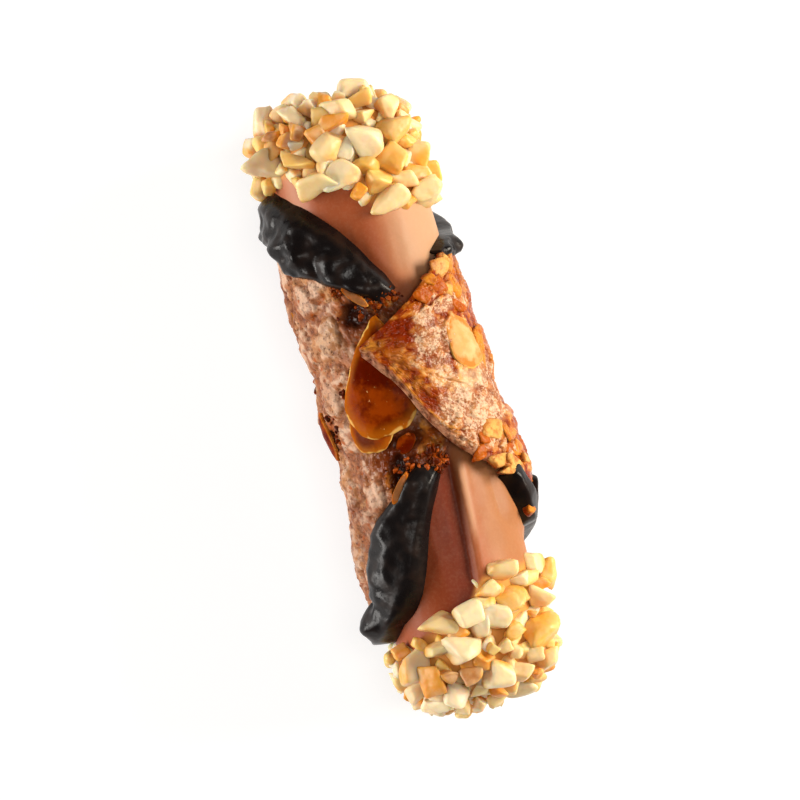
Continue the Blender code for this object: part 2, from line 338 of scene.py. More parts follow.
def dress(piece, material, slot, *nodes):
    """Gives a piece its material, and lets it stand for its solids on the one body."""
    piece.data.materials.clear()
    piece.data.materials.append(material)
    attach(piece, "root")
    if nodes:
        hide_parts(*nodes)
    faces = len(piece.data.polygons)
    print(f"{piece.name}: {faces} faces")


# %% [markdown]
# ## The shape of the rolled sheet
#
# A wafer batter is baked flat and rolled while it is soft. Its corner ends up on top as a flap,
# which the spiral lifts off the first layer. The two long rims are curves of the distance along
# the roll against the wrap angle, and their ragged bite comes from fine hills on top.

# %% Rims and the spiral
UPPER_RIM = [
    (-18, 12.3), (0, 15.3), (19, 19.3), (45, 25.2), (62, 28), (90, 30.5), (120, 35), (180, 42.5),
    (250, 44.6), (290, 43.8), (305, 41.6), (322, 38.6), (343, 32.8), (360, 25.6), (379, 18), (402, 10),
]
LOWER_RIM = [
    (-18, 10.6), (-8, 6), (0, 2), (8, -4), (18, -9.5), (33, -14.8), (54, -18.9), (59, -21), (64, -25),
    (72, -28.4), (90, -30),
    (120, -32.8), (180, -42), (250, -45.4), (290, -44.6), (314, -40.4), (332, -34), (346, -24.8),
    (360, -17.5), (379, -11.6), (402, -4),
]


def flap_lift(angle, along):
    """How far the sheet stands off the roll: it spirals out smoothly towards the flap's tip, and
    starts to do so further back at the lower end."""
    starts_at = 160.0 - 2.5 * along
    return FLAP_LIFT * smooth01((starts_at - angle) / np.maximum(starts_at - 10.0, 30.0))


def wafer_inner(angle, along):
    return CREAM_RADIUS + FIT_GAP + flap_lift(angle, along)


# %% [markdown]
# The silhouette of a baked roll is never straight. Down its left and its right side the surface
# swells and sinks by up to a millimetre and a half, so each side has a profile curve, and the
# two fade into each other round the roll.

# %% Side profiles and lumps
LEFT_PROFILE = [
    (-48, 0.6), (-37, 1.0), (-30.6, 1.3), (-24, 0.4), (-18.6, -0.5), (-15.6, -0.7), (-12.6, -0.1),
    (-9.6, -1.1), (-6, -0.6), (0, 0.1), (5, -0.2), (8.4, -0.6), (12, -0.2), (17.4, 0.8),
    (20.4, 1.0), (24, 0.6), (29, 0.0), (36, -0.3), (48, 0.2),
]
RIGHT_PROFILE = [
    (-36, -1.4), (-30, -0.9), (-24, 0.6), (-18, 1.1), (-13, 0.5), (-9.6, 0.9), (-6, 0.0), (-2, -0.3), (0.3, -0.5),
    (2.5, 0.3), (8, 0.1), (14, -0.3), (17, 0.1), (20, 0.0), (25, 0.5), (36, 0.2),
]


def wafer_swell(angle, along):
    """Slow lumps: the two side profiles, weighted by a bell round 272 and 88 degrees, and hills
    9 mm apart everywhere else that stay low where the flap covers them."""
    left = np.exp(-(((angle - 272) / 34) ** 2)) * through(LEFT_PROFILE, along)
    right = np.exp(-(((angle - 88) / 30) ** 2)) * through(RIGHT_PROFILE, along)
    arc = angle * ARC_PER_DEGREE
    free = smooth01((338.0 - angle) / 25.0) * smooth01((angle + 5.0) / 25.0)
    return left + right + (0.1 + 0.35 * free) * hills(arc / 9, along / 9, 5)


# angle, along, heading, length, width, height of slices sunk in the batter
SUNKEN_SLICES = [
    (305, 5.0, 100, 10.0, 4.6, 0.75), (312, -4.5, 95, 7.0, 5.0, 0.6), (318, 15.5, 70, 9.0, 6.0, 0.7),
    (306, 24.0, 110, 8.0, 4.6, 0.7), (292, 15.0, 80, 9.0, 5.0, 0.6), (296, -14.0, 85, 9.0, 6.0, 0.7),
    (322, -17.0, 60, 7.0, 4.6, 0.6), (309, -22.0, 120, 8.0, 5.0, 0.6), (285, -25.0, 95, 10.0, 5.5, 0.7),
    (287, 31.0, 80, 9.0, 5.0, 0.6), (324, 27.0, 60, 5.5, 3.0, 0.6), (40, 0.4, 20, 8.0, 7.0, 0.4),
    (22, 14.0, 60, 6.5, 5.0, 0.45), (28, -8.5, 125, 9.0, 5.5, 0.4), (3, 10.5, 130, 7.0, 5.0, 0.35),
    (64, -6.0, 90, 8.0, 5.0, 0.5), (18, 2.0, 120, 8.0, 4.6, 0.3),
]
HOLLOWS = [
    (342, 18.6, 2.2, 2.4, 1.0), (349, 21.4, 1.6, 1.6, 0.8), (345, -12.8, 1.4, 2.6, 0.9),
    (352, -14.0, 1.0, 1.8, 0.8), (353, -8.0, 4.0, 1.2, 0.5), (294, -3.8, 0.5, 1.3, 1.6),
    (341.5, -15.4, 1.2, 3.2, 1.0),
]


# angle, along, half width round the roll, half width along, strength of almond nuggets in the crust
NUGGETS = [
    (56, 22.5, 4.6, 4.4, 1.0), (64, -14.5, 5.0, 4.4, 1.0), (72, 6, 2.2, 9, 0.8), (30, 18.3, 5.0, 2.2, 0.9),
    (24, -9.0, 2.2, 4.0, 0.7), (3, 3.0, 2.0, 4.0, 0.6),
    (353, -11.5, 6.5, 3.4, 0.8), (335.5, -14.5, 1.6, 3.6, 0.8), (355, 20.5, 6.0, 3.2, 0.8), (333, 23.5, 3.4, 2.2, 0.7),
    (110, -8, 6, 8, 0.7), (150, 14, 7, 6, 0.7), (215, -14, 8, 7, 0.7), (250, 14, 6, 7, 0.6), (185, 30, 7, 4, 0.7),
    (180, -5, 5, 6, 0.6), (300, -27, 3, 5, 0.4), (290, -12, 2.5, 4, 0.4),
]


def oval(angle, along, at_angle, at_along, heading, length, width):
    """1 on the outline of an egg-shaped slice and 0 in its middle: the length of the offset
    (u, v) in the slice's own half sizes, where v shrinks towards one tip."""
    around, up = (angle - at_angle) * ARC_PER_DEGREE, along - at_along
    turn = np.radians(heading)
    u = (around * np.cos(turn) + up * np.sin(turn)) / (0.5 * length)
    v = (up * np.cos(turn) - around * np.sin(turn)) / (0.5 * width)
    return np.hypot(u, v * (1 + 0.3 * u))


def scattered_slices(count, seed):
    """More sunken slices, all over the sheet, at random headings."""
    rng = np.random.default_rng(seed)
    low, high = (-18, -45, 0, 4.5, 2.8, 0.25), (402, 45, 180, 9.0, 5.0, 0.75)
    return rng.uniform(low, high, (count, 6)).tolist()


def sunken_relief(angle, along):
    """The highest of all sunken slices at each place, each a plateau h with a soft edge, and a
    number from 0 to 1 that belongs to that slice."""
    relief, owner = np.zeros(angle.shape), np.full(angle.shape, 0.5)
    arc = angle * ARC_PER_DEGREE
    wavy = 0.16 * rough(arc / 1.7, along / 1.7, 23, 3)
    for number, (at, place, heading, length, width, height) in enumerate(
        scattered_slices(150, 29) + SUNKEN_SLICES
    ):
        gap = oval(angle, along, at, place, heading, length, width) + wavy
        plateau = 1.15 * height * smooth01((1.08 - gap) / 0.22) * (1.0 - 0.3 * gap)
        owner = np.where(plateau > relief, (number * 0.618) % 1.0, owner)
        relief = np.maximum(relief, plateau)
    return relief, owner


def wafer_detail(angle, along):
    """Finer relief in mm, how far each place is down a crack (0 to 1), how much almond nugget it
    has and its slice or flake number. Dry batter is a pavement of flakes at uneven heights, creased
    by -|hills| and pitted; nuggets are higher flakes with deeper cracks. Glaze fills the flap's
    relief. The named hollows sink by 1.5 mm."""
    angle, along = np.broadcast_arrays(angle, along)
    arc = angle * ARC_PER_DEGREE
    slices, owner = sunken_relief(angle, along)
    unglazed = smooth01((angle - 62) / 24)
    matte = 0.4 + 0.6 * unglazed
    wander = 0.6 * rough(arc / 2.4, along / 2.4, 15, 3)
    near, second, flake = crumbs(arc / 1.8 + wander, along / 2.6 - wander, 39)
    crack = 1 - smooth01((second - near) / 0.18)
    fold = 1 - smooth01(np.abs(rough(arc / 4.2, along / 5.2, 35, 3)) / 0.16)
    pits = np.zeros(angle.shape)
    for size, seed in ((1.5, 45), (0.95, 47)):
        near, _, kind = crumbs(arc / size, along / size, seed)
        pits = np.maximum(pits, np.exp(-((near / 0.24) ** 2)) * (kind > 0.5))
    near, second, nut = crumbs(arc / 2.3 + wander, along / 2.5 + wander, 83)
    nugget = patches(angle, along, NUGGETS)
    near_plate, second_plate, plate = crumbs(arc / 3.1 + 2 * wander, along / 3.6 - wander, 113)
    plate_edge = smooth01((second_plate - near_plate) / 0.16)
    edge = smooth01((second - near) / 0.34)
    bare = (1 - 0.8 * smooth01(slices / 0.3)) * (1 - nugget)
    dry = 0.26 * (flake - 0.5) - 0.20 * crack - 0.26 * fold - 0.34 * pits
    across_streak, along_streak = arc * 0.94 + along * 0.35, along * 0.94 - arc * 0.35
    streaks = 0.20 * rough(across_streak / 1.1, along_streak / 5.5, 73, 2) * unglazed
    grain = 0.20 * rough(arc / 2.1, along / 2.1, 51, 4) + 0.06 * rough(arc / 0.8, along / 0.8, 57, 2) + streaks
    blisters = 0.24 * np.maximum(rough(arc / 1.9, along / 1.9, 63, 3), -0.3)
    blisters = blisters + 0.08 * rough(arc / 0.8, along / 0.8, 67, 2)
    relief = slices * (0.4 + 0.6 * matte) * (1 - nugget) - 0.2 + matte * (grain + dry * bare)
    relief = relief + (1 - matte) * (1.3 * blisters + 0.4 * (plate - 0.5) - 0.2 * (1 - plate_edge))
    relief = relief + nugget * ((0.25 + 0.75 * nut) * edge - 0.3)
    hollow = patches(angle, along, HOLLOWS)
    cracks = np.maximum(np.maximum(0.55 * crack, np.maximum(0.8 * fold, 0.8 * pits)) * bare * matte, nugget * (1 - edge))
    cracks = np.maximum(cracks, 0.6 * (1 - plate_edge) * (1 - matte))
    number = np.where(nugget > 0.4, nut, np.where(matte < 0.6, plate, np.where(slices > 0.08, owner, flake)))
    return relief * (1 - 0.5 * hollow) - 1.5 * hollow, cracks, nugget, number


def wafer_smooth_skin(angle, along):
    """The outer radius without its fine relief, on which the chocolate lies."""
    return wafer_inner(angle, along) + WAFER_THICKNESS + wafer_swell(angle, along)


print(f"{len(SUNKEN_SLICES)} sunken slices are placed by hand, 150 by chance")

# %% [markdown]
# The sheet is a closed loft: each loop is its flattened section at one wrap angle, up the outside
# and down the inside. Towards a rim the two faces close on the middle of the sheet along a
# quarter circle, so the edge is rounded as a baked edge is. The outside has rows 0.4 mm apart to
# carry the plates and nuggets, and the inside, which the cream hides, has few.

# %% The wafer
WAFER_COLUMNS = 330
WAFER_OUTER_ROWS = 262
WAFER_INNER_ROWS = 18
EDGE_ROUNDING = 0.8
FLAP_EDGE_ROUNDING = 2.1
# share of the sections and the wrap angle where it is reached: they lie closer at the front
SECTION_ANGLES = [(0.0, FLAP_TIP_ANGLE), (0.33, 76), (0.65, 285), (1.0, TUCKED_END_ANGLE)]


def ragged_rims(angle):
    """The two rims, with bites and teeth from 0.6 mm to 3 mm long."""
    arc = angle * ARC_PER_DEGREE
    upper = through(UPPER_RIM, angle) + 0.3 * rough(arc / 2.6, 0.5, 61, 3)
    lower = through(LOWER_RIM, angle) + 0.3 * rough(arc / 2.6, 7.5, 71, 3)
    return lower, upper


def edge_depth(angle, along, lower, upper):
    """How far in from the sheet's nearest edge a place is, as a share of the edge's rounding. The
    rounding is wider along the flap's lower edge and tip, where the broken edge faces up."""
    on_flap = smooth01((50 - angle) / 20)
    rounding = EDGE_ROUNDING + (FLAP_EDGE_ROUNDING - EDGE_ROUNDING) * on_flap
    from_tip = (angle - FLAP_TIP_ANGLE) * ARC_PER_DEGREE + 0.2
    from_end = (TUCKED_END_ANGLE - angle) * ARC_PER_DEGREE + 0.2
    sides = np.minimum((upper - along) * (1 + on_flap), np.minimum(from_tip, from_end))
    return np.minimum(sides, along - lower) / rounding


def fullness(depth):
    """1 in the sheet, falling to 0 at its edge along a quarter circle."""
    return np.sqrt(1.0001 - (1 - np.clip(depth, 0, 1)) ** 2)


def rows_between(lower, upper, count):
    """Rows from rim to rim, set closer near both rims."""
    t = np.linspace(0, 1, count)[None, :]
    return lower + (upper - lower) * (0.86 * t + 0.07 * (1 - np.cos(np.pi * t)))


angle = np.interp(np.linspace(0, 1, WAFER_COLUMNS), *np.array(SECTION_ANGLES).T)[:, None]
lower, upper = ragged_rims(angle)
outer_along = rows_between(lower, upper, WAFER_OUTER_ROWS)
inner_along = rows_between(lower, upper, WAFER_INNER_ROWS)[:, ::-1][:, 1:-1]
half = WAFER_THICKNESS / 2
depth = edge_depth(angle, outer_along, lower, upper)
full = fullness(depth)
relief, cracks, nugget, owner = wafer_detail(angle, outer_along)
near_lower = smooth01(0.5 + (upper - 2 * outer_along + lower + 1.2 * smooth01((-angle - 6) / 6)) / 1.5)
broken = smooth01((50 - angle) / 20) * (1 - smooth01((depth - 0.7) / 0.7)) * near_lower
crumbly = 0.7 * rough(angle * ARC_PER_DEGREE / 1.1, outer_along / 1.1, 77, 3) * broken
crest = smooth01((50 - angle) / 20) * np.exp(-(((depth - 1.35) / 0.3) ** 2)) * near_lower
proud = wafer_swell(angle, outer_along) + relief + crumbly + 0.3 * crest
outer_radius = wafer_inner(angle, outer_along) + half + (half + proud) * full
inner_full = fullness(edge_depth(angle, inner_along, lower, upper))
inner_radius = wafer_inner(angle, inner_along) + half - half * inner_full
wafer_loops = np.concatenate(
    [on_roll(angle, outer_along, outer_radius), on_roll(angle, inner_along, inner_radius)], axis=1
)
wafer = loft("wafer", wafer_loops)
print(f"wafer: {WAFER_COLUMNS} sections, relief {relief.min():.1f} to {relief.max():.1f} mm")

# %% [markdown]
# The bake is painted per point, because it follows the sheet and not plain space. Dry dough is a dusty pinkish brown,
# painted paler on its raised flakes, partly as dust and partly as painted sheen. The flap took most of the caramel:
# deep orange where it pooled, yellow where it is thin, and pinkish where sugar dust stuck to it. Cracks, pits and
# hollows in both are painted darker as painted shade. Each named spot below is one place where the colour clearly
# changes.

# %% Painting the bake
# The third colour on the next line is partly dust and partly painted sheen on raised flakes.
PINKISH, OCHRE, DUST_AND_SHEEN = (0.42, 0.160, 0.066), (0.52, 0.26, 0.10), (0.66, 0.42, 0.28)
# The second colour on the next line is near-black painted shade for the hollows.
BROWN, SHADE_BLACK, TAR = (0.15, 0.033, 0.010), (0.025, 0.006, 0.003), (0.045, 0.007, 0.001)
DEEP, AMBER, HONEY, CREAMY = (0.19, 0.016, 0.001), (0.38, 0.075, 0.003), (0.62, 0.24, 0.03), (0.68, 0.48, 0.27)
DUSTY_PINK, CRUMB, RUST = (0.44, 0.19, 0.085), (0.42, 0.18, 0.09), (0.10, 0.012, 0.001)
GLAZE = [DEEP, (0.26, 0.034, 0.002), AMBER, (0.48, 0.14, 0.012), (0.58, 0.22, 0.045), (0.72, 0.37, 0.12)]
# angle, along, half width round the roll, half width along, strength, colour
SPOTS = [
    (6, 12.6, 3.0, 3.0, 1.0, DEEP), (13, -3.0, 3.0, 4.0, 1.0, DEEP), (24, -12.2, 3.2, 1.8, 0.7, DEEP),
    (-9, 12.0, 1.8, 1.0, 1.0, HONEY), (3, 6.5, 1.2, 1.6, 0.8, HONEY), (9, 2.5, 1.3, 1.2, 0.9, HONEY),
    (-2, 9.0, 2.0, 2.0, 0.7, AMBER), (24, -5.5, 2.4, 3.0, 0.7, AMBER), (38, -11.5, 3.6, 1.8, 0.8, AMBER),
    (30, 10.5, 3.0, 3.6, 0.5, DUSTY_PINK), (50, -5, 4, 4, 0.4, DUSTY_PINK),
    (40, 0.6, 4.2, 2.2, 1.0, CREAMY), (33, 1.4, 1.6, 1.0, 0.8, HONEY),
    (27, 20.0, 2.6, 1.4, 0.9, AMBER), (33, -13, 2.4, 1.8, 0.9, AMBER),
    (318, 15, 3.2, 2.6, 0.5, OCHRE), (320, 4.5, 1.0, 1.4, 0.9, AMBER), (305, 5.0, 2.0, 4.6, 0.5, PINKISH),
    (331, 24, 2.0, 1.4, 0.8, OCHRE), (342, 15, 4, 3.0, 0.6, BROWN), (336, 20, 2.4, 3.2, 0.85, AMBER),
    (341, 17.0, 2.8, 2.4, 0.8, DEEP), (359, 18.0, 6.0, 4.0, 1.0, RUST), (350, 20.4, 3.8, 3.6, 1.0, TAR),
    (357, 20.5, 2.6, 2.2, 1.0, TAR), (366, 19.8, 1.0, 1.2, 0.9, HONEY), (338, 24.6, 3.0, 1.6, 0.8, DEEP),
    (340, -12.5, 2.8, 5.4, 0.85, RUST), (352, -9.5, 5.5, 4.0, 0.6, TAR), (345, -14, 4.0, 3.5, 0.6, DEEP), (308, -25, 8, 8, 0.4, BROWN), (343, -20, 2.6, 2.4, 0.8, DEEP), (357, -9.0, 6.4, 4.0, 1.0, RUST),
    (348.5, -13.2, 3.8, 5.4, 1.0, RUST), (353, -16, 2.6, 3.0, 1.0, TAR), (349, -10.4, 2.4, 1.4, 0.9, TAR),
    (345, -15.5, 1.2, 2.6, 0.9, TAR),
    (333, -11, 2.4, 3.4, 0.7, AMBER), (335, -15, 0.8, 2.6, 1.0, AMBER), (368, -6.4, 0.8, 1.4, 0.9, HONEY),
    (366, -13, 2.6, 3, 0.8, RUST), (341, -18, 2.4, 1.6, 0.6, AMBER), (326, -8, 2, 1.4, 0.6, OCHRE),
    (339, -10, 3.6, 3.2, 0.85, RUST), (341, -15.5, 2.6, 5.0, 0.95, RUST), (342, -15.5, 1.7, 3.8, 1.0, TAR),
    (336.5, -15.2, 0.9, 3.0, 0.9, AMBER), (371, -8.4, 2.4, 1.8, 0.9, AMBER), (374, -9.6, 1.2, 1.2, 0.8, HONEY),
    (296, -2.5, 1.4, 3.4, 0.7, AMBER), (287, 7.5, 0.8, 1.0, 0.9, AMBER), (275, 17, 2.0, 3.0, 0.5, AMBER),
    (56, 21, 5.0, 4.5, 0.6, DEEP), (60, -14.5, 5.0, 4.0, 0.6, DEEP), (90, 12, 7, 9, 0.7, AMBER),
    (76, 22, 3.0, 4.0, 0.9, HONEY), (82, 13, 3.2, 6.0, 0.8, AMBER), (82, 1, 3.2, 7.0, 0.7, HONEY),
    (82, -12, 3.2, 7.0, 0.8, AMBER),
    (95, -12, 7, 7, 0.7, AMBER), (200, 10, 8, 7, 0.5, AMBER),
    (165, -18, 9, 6, 0.6, AMBER), (240, -6, 5, 8, 0.4, AMBER), (140, 20, 7, 6, 0.5, AMBER),
]
GLOSS_SPOTS = [(20, 3, 60, 60, 1.0), (352, 17, 9, 8, 1.0), (352, -12, 10, 7, 1.0), (95, 0, 12, 30, 0.7)]
# The frosted patches are painted this colour, partly as sugar frost and partly as painted sheen.
FROST_AND_SHEEN_BED = (0.50, 0.26, 0.11)
# where sugar dust lies on the flap, painted pale as frost and as painted sheen
FROST_AND_SHEEN = [
    (22, 14.6, 2.0, 2.0, 0.8), (31, 17.2, 1.8, 1.6, 0.75), (42, 16.2, 3.6, 1.4, 0.8), (22, 10.5, 2.6, 3.0, 0.75),
    (31, 9.5, 3.0, 3.6, 0.5), (24, 3.5, 2.6, 3.2, 0.6), (12, 7.0, 1.4, 1.6, 0.5), (34, -4.5, 5.0, 4.0, 0.85),
    (46, -7, 5.0, 5.5, 0.85), (32, -9.5, 3.0, 2.6, 0.7), (60, 0, 4, 8, 0.6), (57, -14.6, 2.4, 2.0, 0.6),
    (46, 18.6, 1.8, 1.6, 0.7), (58, 17, 2.4, 3.0, 0.6),
]
# Where the hollows lie, slightly wider, for painting them near-black as painted shade.
HOLLOW_SHADE = [(a, y, u * 1.3, v * 1.3, s) for a, y, u, v, s in HOLLOWS]


def blend(colour, other, share):
    """Colours per point, taken towards another colour by a share per point."""
    return colour + (np.array(other) - colour) * np.clip(share, 0, 1)[..., None]


def ramp(value, colours):
    """Colours per point from a row of colours: value 0 gives the first and 1 the last."""
    stops = np.linspace(0, 1, len(colours))
    return np.stack([np.interp(value, stops, channel) for channel in zip(*colours)], axis=-1)


def bake_colours(angle, along):
    """The painted colour of each point: dry dough, paler on raised flakes as dust and painted sheen, then the flap's
    caramel, then the spots and nuggets, then painted shade in cracks and hollows, and the pale crumb of the flap's
    edge."""
    angle, along = np.broadcast_arrays(angle, along)
    arc = angle * ARC_PER_DEGREE
    broad, fine = rough(arc / 6, along / 6, 201, 3), rough(arc / 1.4, along / 1.4, 211, 3)
    dry = blend(np.zeros(angle.shape + (3,)) + PINKISH, OCHRE, 0.55 * (owner > 0.6) * (0.6 + broad))
    dry = blend(dry, BROWN, 0.5 * smooth01(0.1 - 1.2 * broad - 0.7 * fine) + 0.2 * (owner < 0.25))
    # Raised flakes are painted paler: partly dust, partly painted sheen.
    dry = blend(dry, DUST_AND_SHEEN, 0.9 * smooth01(2.0 * fine + 1.2 * relief + 0.6 * broad))
    near, _, kind = crumbs(arc / 1.2, along / 1.2, 93)
    dry = blend(dry, AMBER, 0.9 * (kind > 0.88) * smooth01((0.42 - near) / 0.1))
    glaze = ramp(0.47 + 1.0 * fine + 0.4 * broad + 0.4 * relief + 0.3 * (owner - 0.5) - 0.4 * cracks, GLAZE)
    flap = smooth01((124 - angle) / 28)
    colour = dry + (glaze - dry) * flap[..., None]
    for at, place, half_round, half_along, strength, other in SPOTS:
        share = patches(angle, along, [(at, place, half_round, half_along, strength)])
        colour = blend(colour, other, share * (0.75 + 0.45 * fine))
    kernel = blend(blend(colour, AMBER, 0.5 + 0 * fine), HONEY, 0.8 * smooth01((owner - 0.4) / 0.5))
    on_top = nugget * (0.5 + 0.5 * flap) * smooth01(0.6 + relief) * smooth01((owner - 0.5 + 0.6 * flap) / 0.2)
    colour = colour + (kernel - colour) * on_top[..., None]
    # Cracks and pits are painted darker as painted shade: brown in the dough and deep amber on the flap, which is also
    # deeper where caramel pooled low.
    colour = blend(colour, BROWN, 0.85 * cracks * (1 - flap))
    colour = blend(colour, DEEP, 0.9 * cracks * flap + 0.3 * flap * smooth01((-0.15 - relief) / 0.4))
    colour = blend(colour, HONEY, 0.8 * crest * smooth01(0.5 + 1.5 * fine))
    colour = blend(colour, CRUMB, 0.95 * broken * smooth01(0.9 + 2.0 * crumbly))
    colour = blend(colour, RUST, 0.8 * broken * smooth01(-2.5 * crumbly))
    # The hollows are painted near-black inside: painted shade.
    return blend(colour, SHADE_BLACK, patches(angle, along, HOLLOW_SHADE))


paint = bake_colours(angle, outer_along)
gloss = patches(angle, outer_along, GLOSS_SPOTS) * (1 - broken)
# Frosted patches are painted paler: partly sugar frost, partly painted sheen.
frost_and_sheen = patches(angle, outer_along, FROST_AND_SHEEN) * (1 - cracks)
paint = blend(paint, FROST_AND_SHEEN_BED, 0.6 * frost_and_sheen)
finish_data = np.stack([gloss, frost_and_sheen, cracks], axis=-1)
inside = np.zeros((WAFER_COLUMNS, WAFER_INNER_ROWS - 2, 3))
store(wafer, "paint", np.concatenate([paint, inside + BROWN], axis=1).reshape(-1, 3))
store(wafer, "bake", np.concatenate([finish_data, inside], axis=1).reshape(-1, 3))
print(f"{len(SPOTS)} painted spots; glossy on {100 * (gloss > 0.5).mean():.0f}% of the sheet")

# %% [markdown]
# The shader adds what is finer than the painted points: pores darkened as painted shade, specks of sugar and tiny
# bumps. The stored gloss makes caramel smooth and wet, and dry dough stays matte. Where the sheet is frosted, pale
# grains half a millimetre apart lie on the caramel in drifts, partly sugar and partly painted sheen.


# %% Baked wafer finish
def wafer_finish():
    r = Recipe("baked_wafer", Subsurface_Weight=0.05, Subsurface_Scale=0.0015, Specular_IOR_Level=0.12)
    paint, _ = r.stored("paint")
    _, (gloss, frost_and_sheen, _) = r.stored("bake")
    fine, grain = r.noise(1.2, 5.0, 0.65), r.noise(0.42, 4.0, 0.7)
    pores = r.span(r.dots(0.75), 0.10, 0.30)
    dark = r.math("MULTIPLY", r.span(fine, 0.54, 0.36, 0.0, 0.5), r.span(gloss, 0.0, 1.0, 1.0, 0.5))
    colour = r.mix(dark, paint, (0.06, 0.009, 0.002))
    pale = r.math("MULTIPLY", r.span(grain, 0.55, 0.75, 0.0, 0.30), r.span(gloss, 0.0, 0.8, 1.0, 0.1))
    colour = r.mix(pale, colour, (0.74, 0.50, 0.34))
    # The pores, dented by the pore bump, are painted dark as painted shade.
    pore_shade = r.math("MULTIPLY", r.span(pores, 0.0, 1.0, 0.85, 0.0), r.span(gloss, 0.0, 1.0, 0.9, 0.15))
    pore_shade = r.math("MULTIPLY", pore_shade, r.span(fine, 0.45, 0.62, 1.0, 0.0))
    colour = r.mix(pore_shade, colour, (0.05, 0.012, 0.005))
    level = r.math("ADD", frost_and_sheen, r.span(r.noise(1.7, 2.0), 0.35, 0.65, -0.35, 0.35))
    level = r.math("ADD", level, r.span(r.noise(0.5, 2.0), 0.35, 0.65, -0.35, 0.35))
    # Frosted patches get pale grains: partly sugar, partly painted sheen.
    frosted_and_sheen = r.math("MULTIPLY", r.span(level, 0.2, 1.2, 0.0, 0.8), r.span(frost_and_sheen, 0.02, 0.25))
    colour = r.mix(frosted_and_sheen, colour, (0.72, 0.50, 0.33))
    roughness = r.math("ADD", r.span(gloss, 0.0, 1.0, 0.38, 0.14), r.span(fine, 0.45, 0.75, 0.0, 0.14))
    roughness = r.math("ADD", roughness, r.span(frosted_and_sheen, 0.1, 0.7, 0.0, 0.2))
    normal = r.bump(pores, 0.07)
    normal = r.bump(r.noise(1.5, 1.0, 0.5), 0.13, normal)
    normal = r.bump(r.noise(0.55, 1.5, 0.5), 0.12, normal)
    return r.finish(colour, roughness, normal)


dress(wafer, wafer_finish(), "wafer", "wafer_shell")

# %% [markdown]
# ## The cream
#
# Piped cream sets as one bar with a fold down each open notch, where two passes of the bag met.
# The bar is rings round the axis. In the lower notch the fold has a steep left side, so one lobe
# shades the other, and in the upper one it is a soft ridge. The ends close in a dome.

# %% The cream bar
CREAM_RINGS = 260
CREAM_COLUMNS = 240
FOLD_LINE = [(-46, 13.5), (-36, 16), (-31, 17.5), (-20, 20), (-13, 21.5), (0, 18), (19, 12), (30, 2), (46, -4)]


def front_angle(angle):
    """The same direction round the roll, from -180 to 180 degrees."""
    return (angle + 180.0) % 360.0 - 180.0


def notch_depth(angle, along):
    """How far a place at the front lies outside the sheet's first layer, in mm."""
    layer = angle + 360.0
    outside = np.maximum(along - through(UPPER_RIM, layer), through(LOWER_RIM, layer) - along)
    return np.maximum(outside, (layer - TUCKED_END_ANGLE) * 0.3)


def cream_bulge(angle, along):
    """The swell in the notches. In the lower one it is a steep step 1.6 mm high at the fold line,
    with a crease to its left and a crest to its right, and in the upper one a soft step 1.2 mm
    high. To the right the cream stays high."""
    open_end = smooth01((46.0 - np.abs(along)) / 10.0)
    clear = smooth01((notch_depth(angle, along) - 0.5) / 6.0)
    past = angle - through(FOLD_LINE, along)
    crease = 0.4 * np.exp(-(((past + 4) / 3) ** 2))
    crest = 0.4 * np.exp(-(((past - 5) / 5) ** 2))
    fold = 1.6 * smooth01(past / 4.0 + 0.5) + crest - crease
    step = np.where(along > 0, 1.2 * smooth01(past / 30.0 + 0.5), fold)
    return step * (1 - smooth01((angle - 60) / 40)) * clear * open_end


def cream_fill(angle, along):
    """The cream fills the room that the spiral leaves under the flap's right side."""
    side = smooth01((angle - 26.0) / 42.0)
    reach = np.where(along < 0, 37.0, 27.0)
    return flap_lift(angle, along) * side * smooth01((reach - np.abs(along)) / 12.0)


def cream_radius(angle, along):
    """The bar's radius at angles from -180 to 180: slimmer at the ends, domed past them."""
    far = np.abs(along)
    body = CREAM_RADIUS + (CREAM_END_RADIUS - CREAM_RADIUS) * smooth01((far - 30) / 15)
    swollen = np.maximum(cream_bulge(angle, along), cream_fill(angle, along))
    dome = np.clip((far - CREAM_DOME_START) / (CREAM_HALF_LENGTH - CREAM_DOME_START), 0, 1)
    return (body + swollen) * (1.0 - dome**2.6) ** (1 / 2.6)


turn = np.sin(np.radians(np.linspace(-89.5, 89.5, CREAM_RINGS)))[:, None]
cream_along = CREAM_HALF_LENGTH * 0.9995 * turn / np.abs(turn).max()
cream_angle = np.linspace(-180, 180, CREAM_COLUMNS, endpoint=False)[None, :]
streaks = 0.10 * rough(cream_angle / 8, cream_along / 16, 83, 2)
cream_surface = cream_radius(cream_angle, cream_along) + streaks * (cream_radius(cream_angle, cream_along) > 10)
cream = loft("cream", on_roll(cream_angle, cream_along, cream_surface))
print(f"cream: {CREAM_HALF_LENGTH * 2:.0f} mm long, radius up to {cream_surface.max():.1f} mm")


# %% [markdown]
# Chocolate cream is smooth and satiny, a warm pinkish brown. Its right side is painted paler as painted light, the lobe
# left of the lower fold is painted dark as painted shade, a painted highlight runs along that fold's crest, and a band
# of painted shade darkens it beside the rims. Under the nuts their golden dust covers it. These soft changes are
# painted per point, and the shader adds faint clouds and very fine grain.


# %% Cream finish
# where the nuts begin: angle, distance along
NUT_EDGE = [
    (-90, 46.2), (-66, 46.2), (-50, 47.4), (-36, 45), (-6, 44.5), (6, 41), (17, 37.2), (45, 36.2),
    (90, 36.5), (120, 38.6), (180, 45), (250, 46.2), (270, 46.2),
]
# On the next line the second colour is painted shade for the lobe left of the lower fold, and the third is painted
# light for the cream's lit right side.
CREAM_MOIST, CREAM_SHADE, CREAM_LIT_PALE = (0.33, 0.074, 0.022), (0.16, 0.019, 0.003), (0.38, 0.150, 0.054)
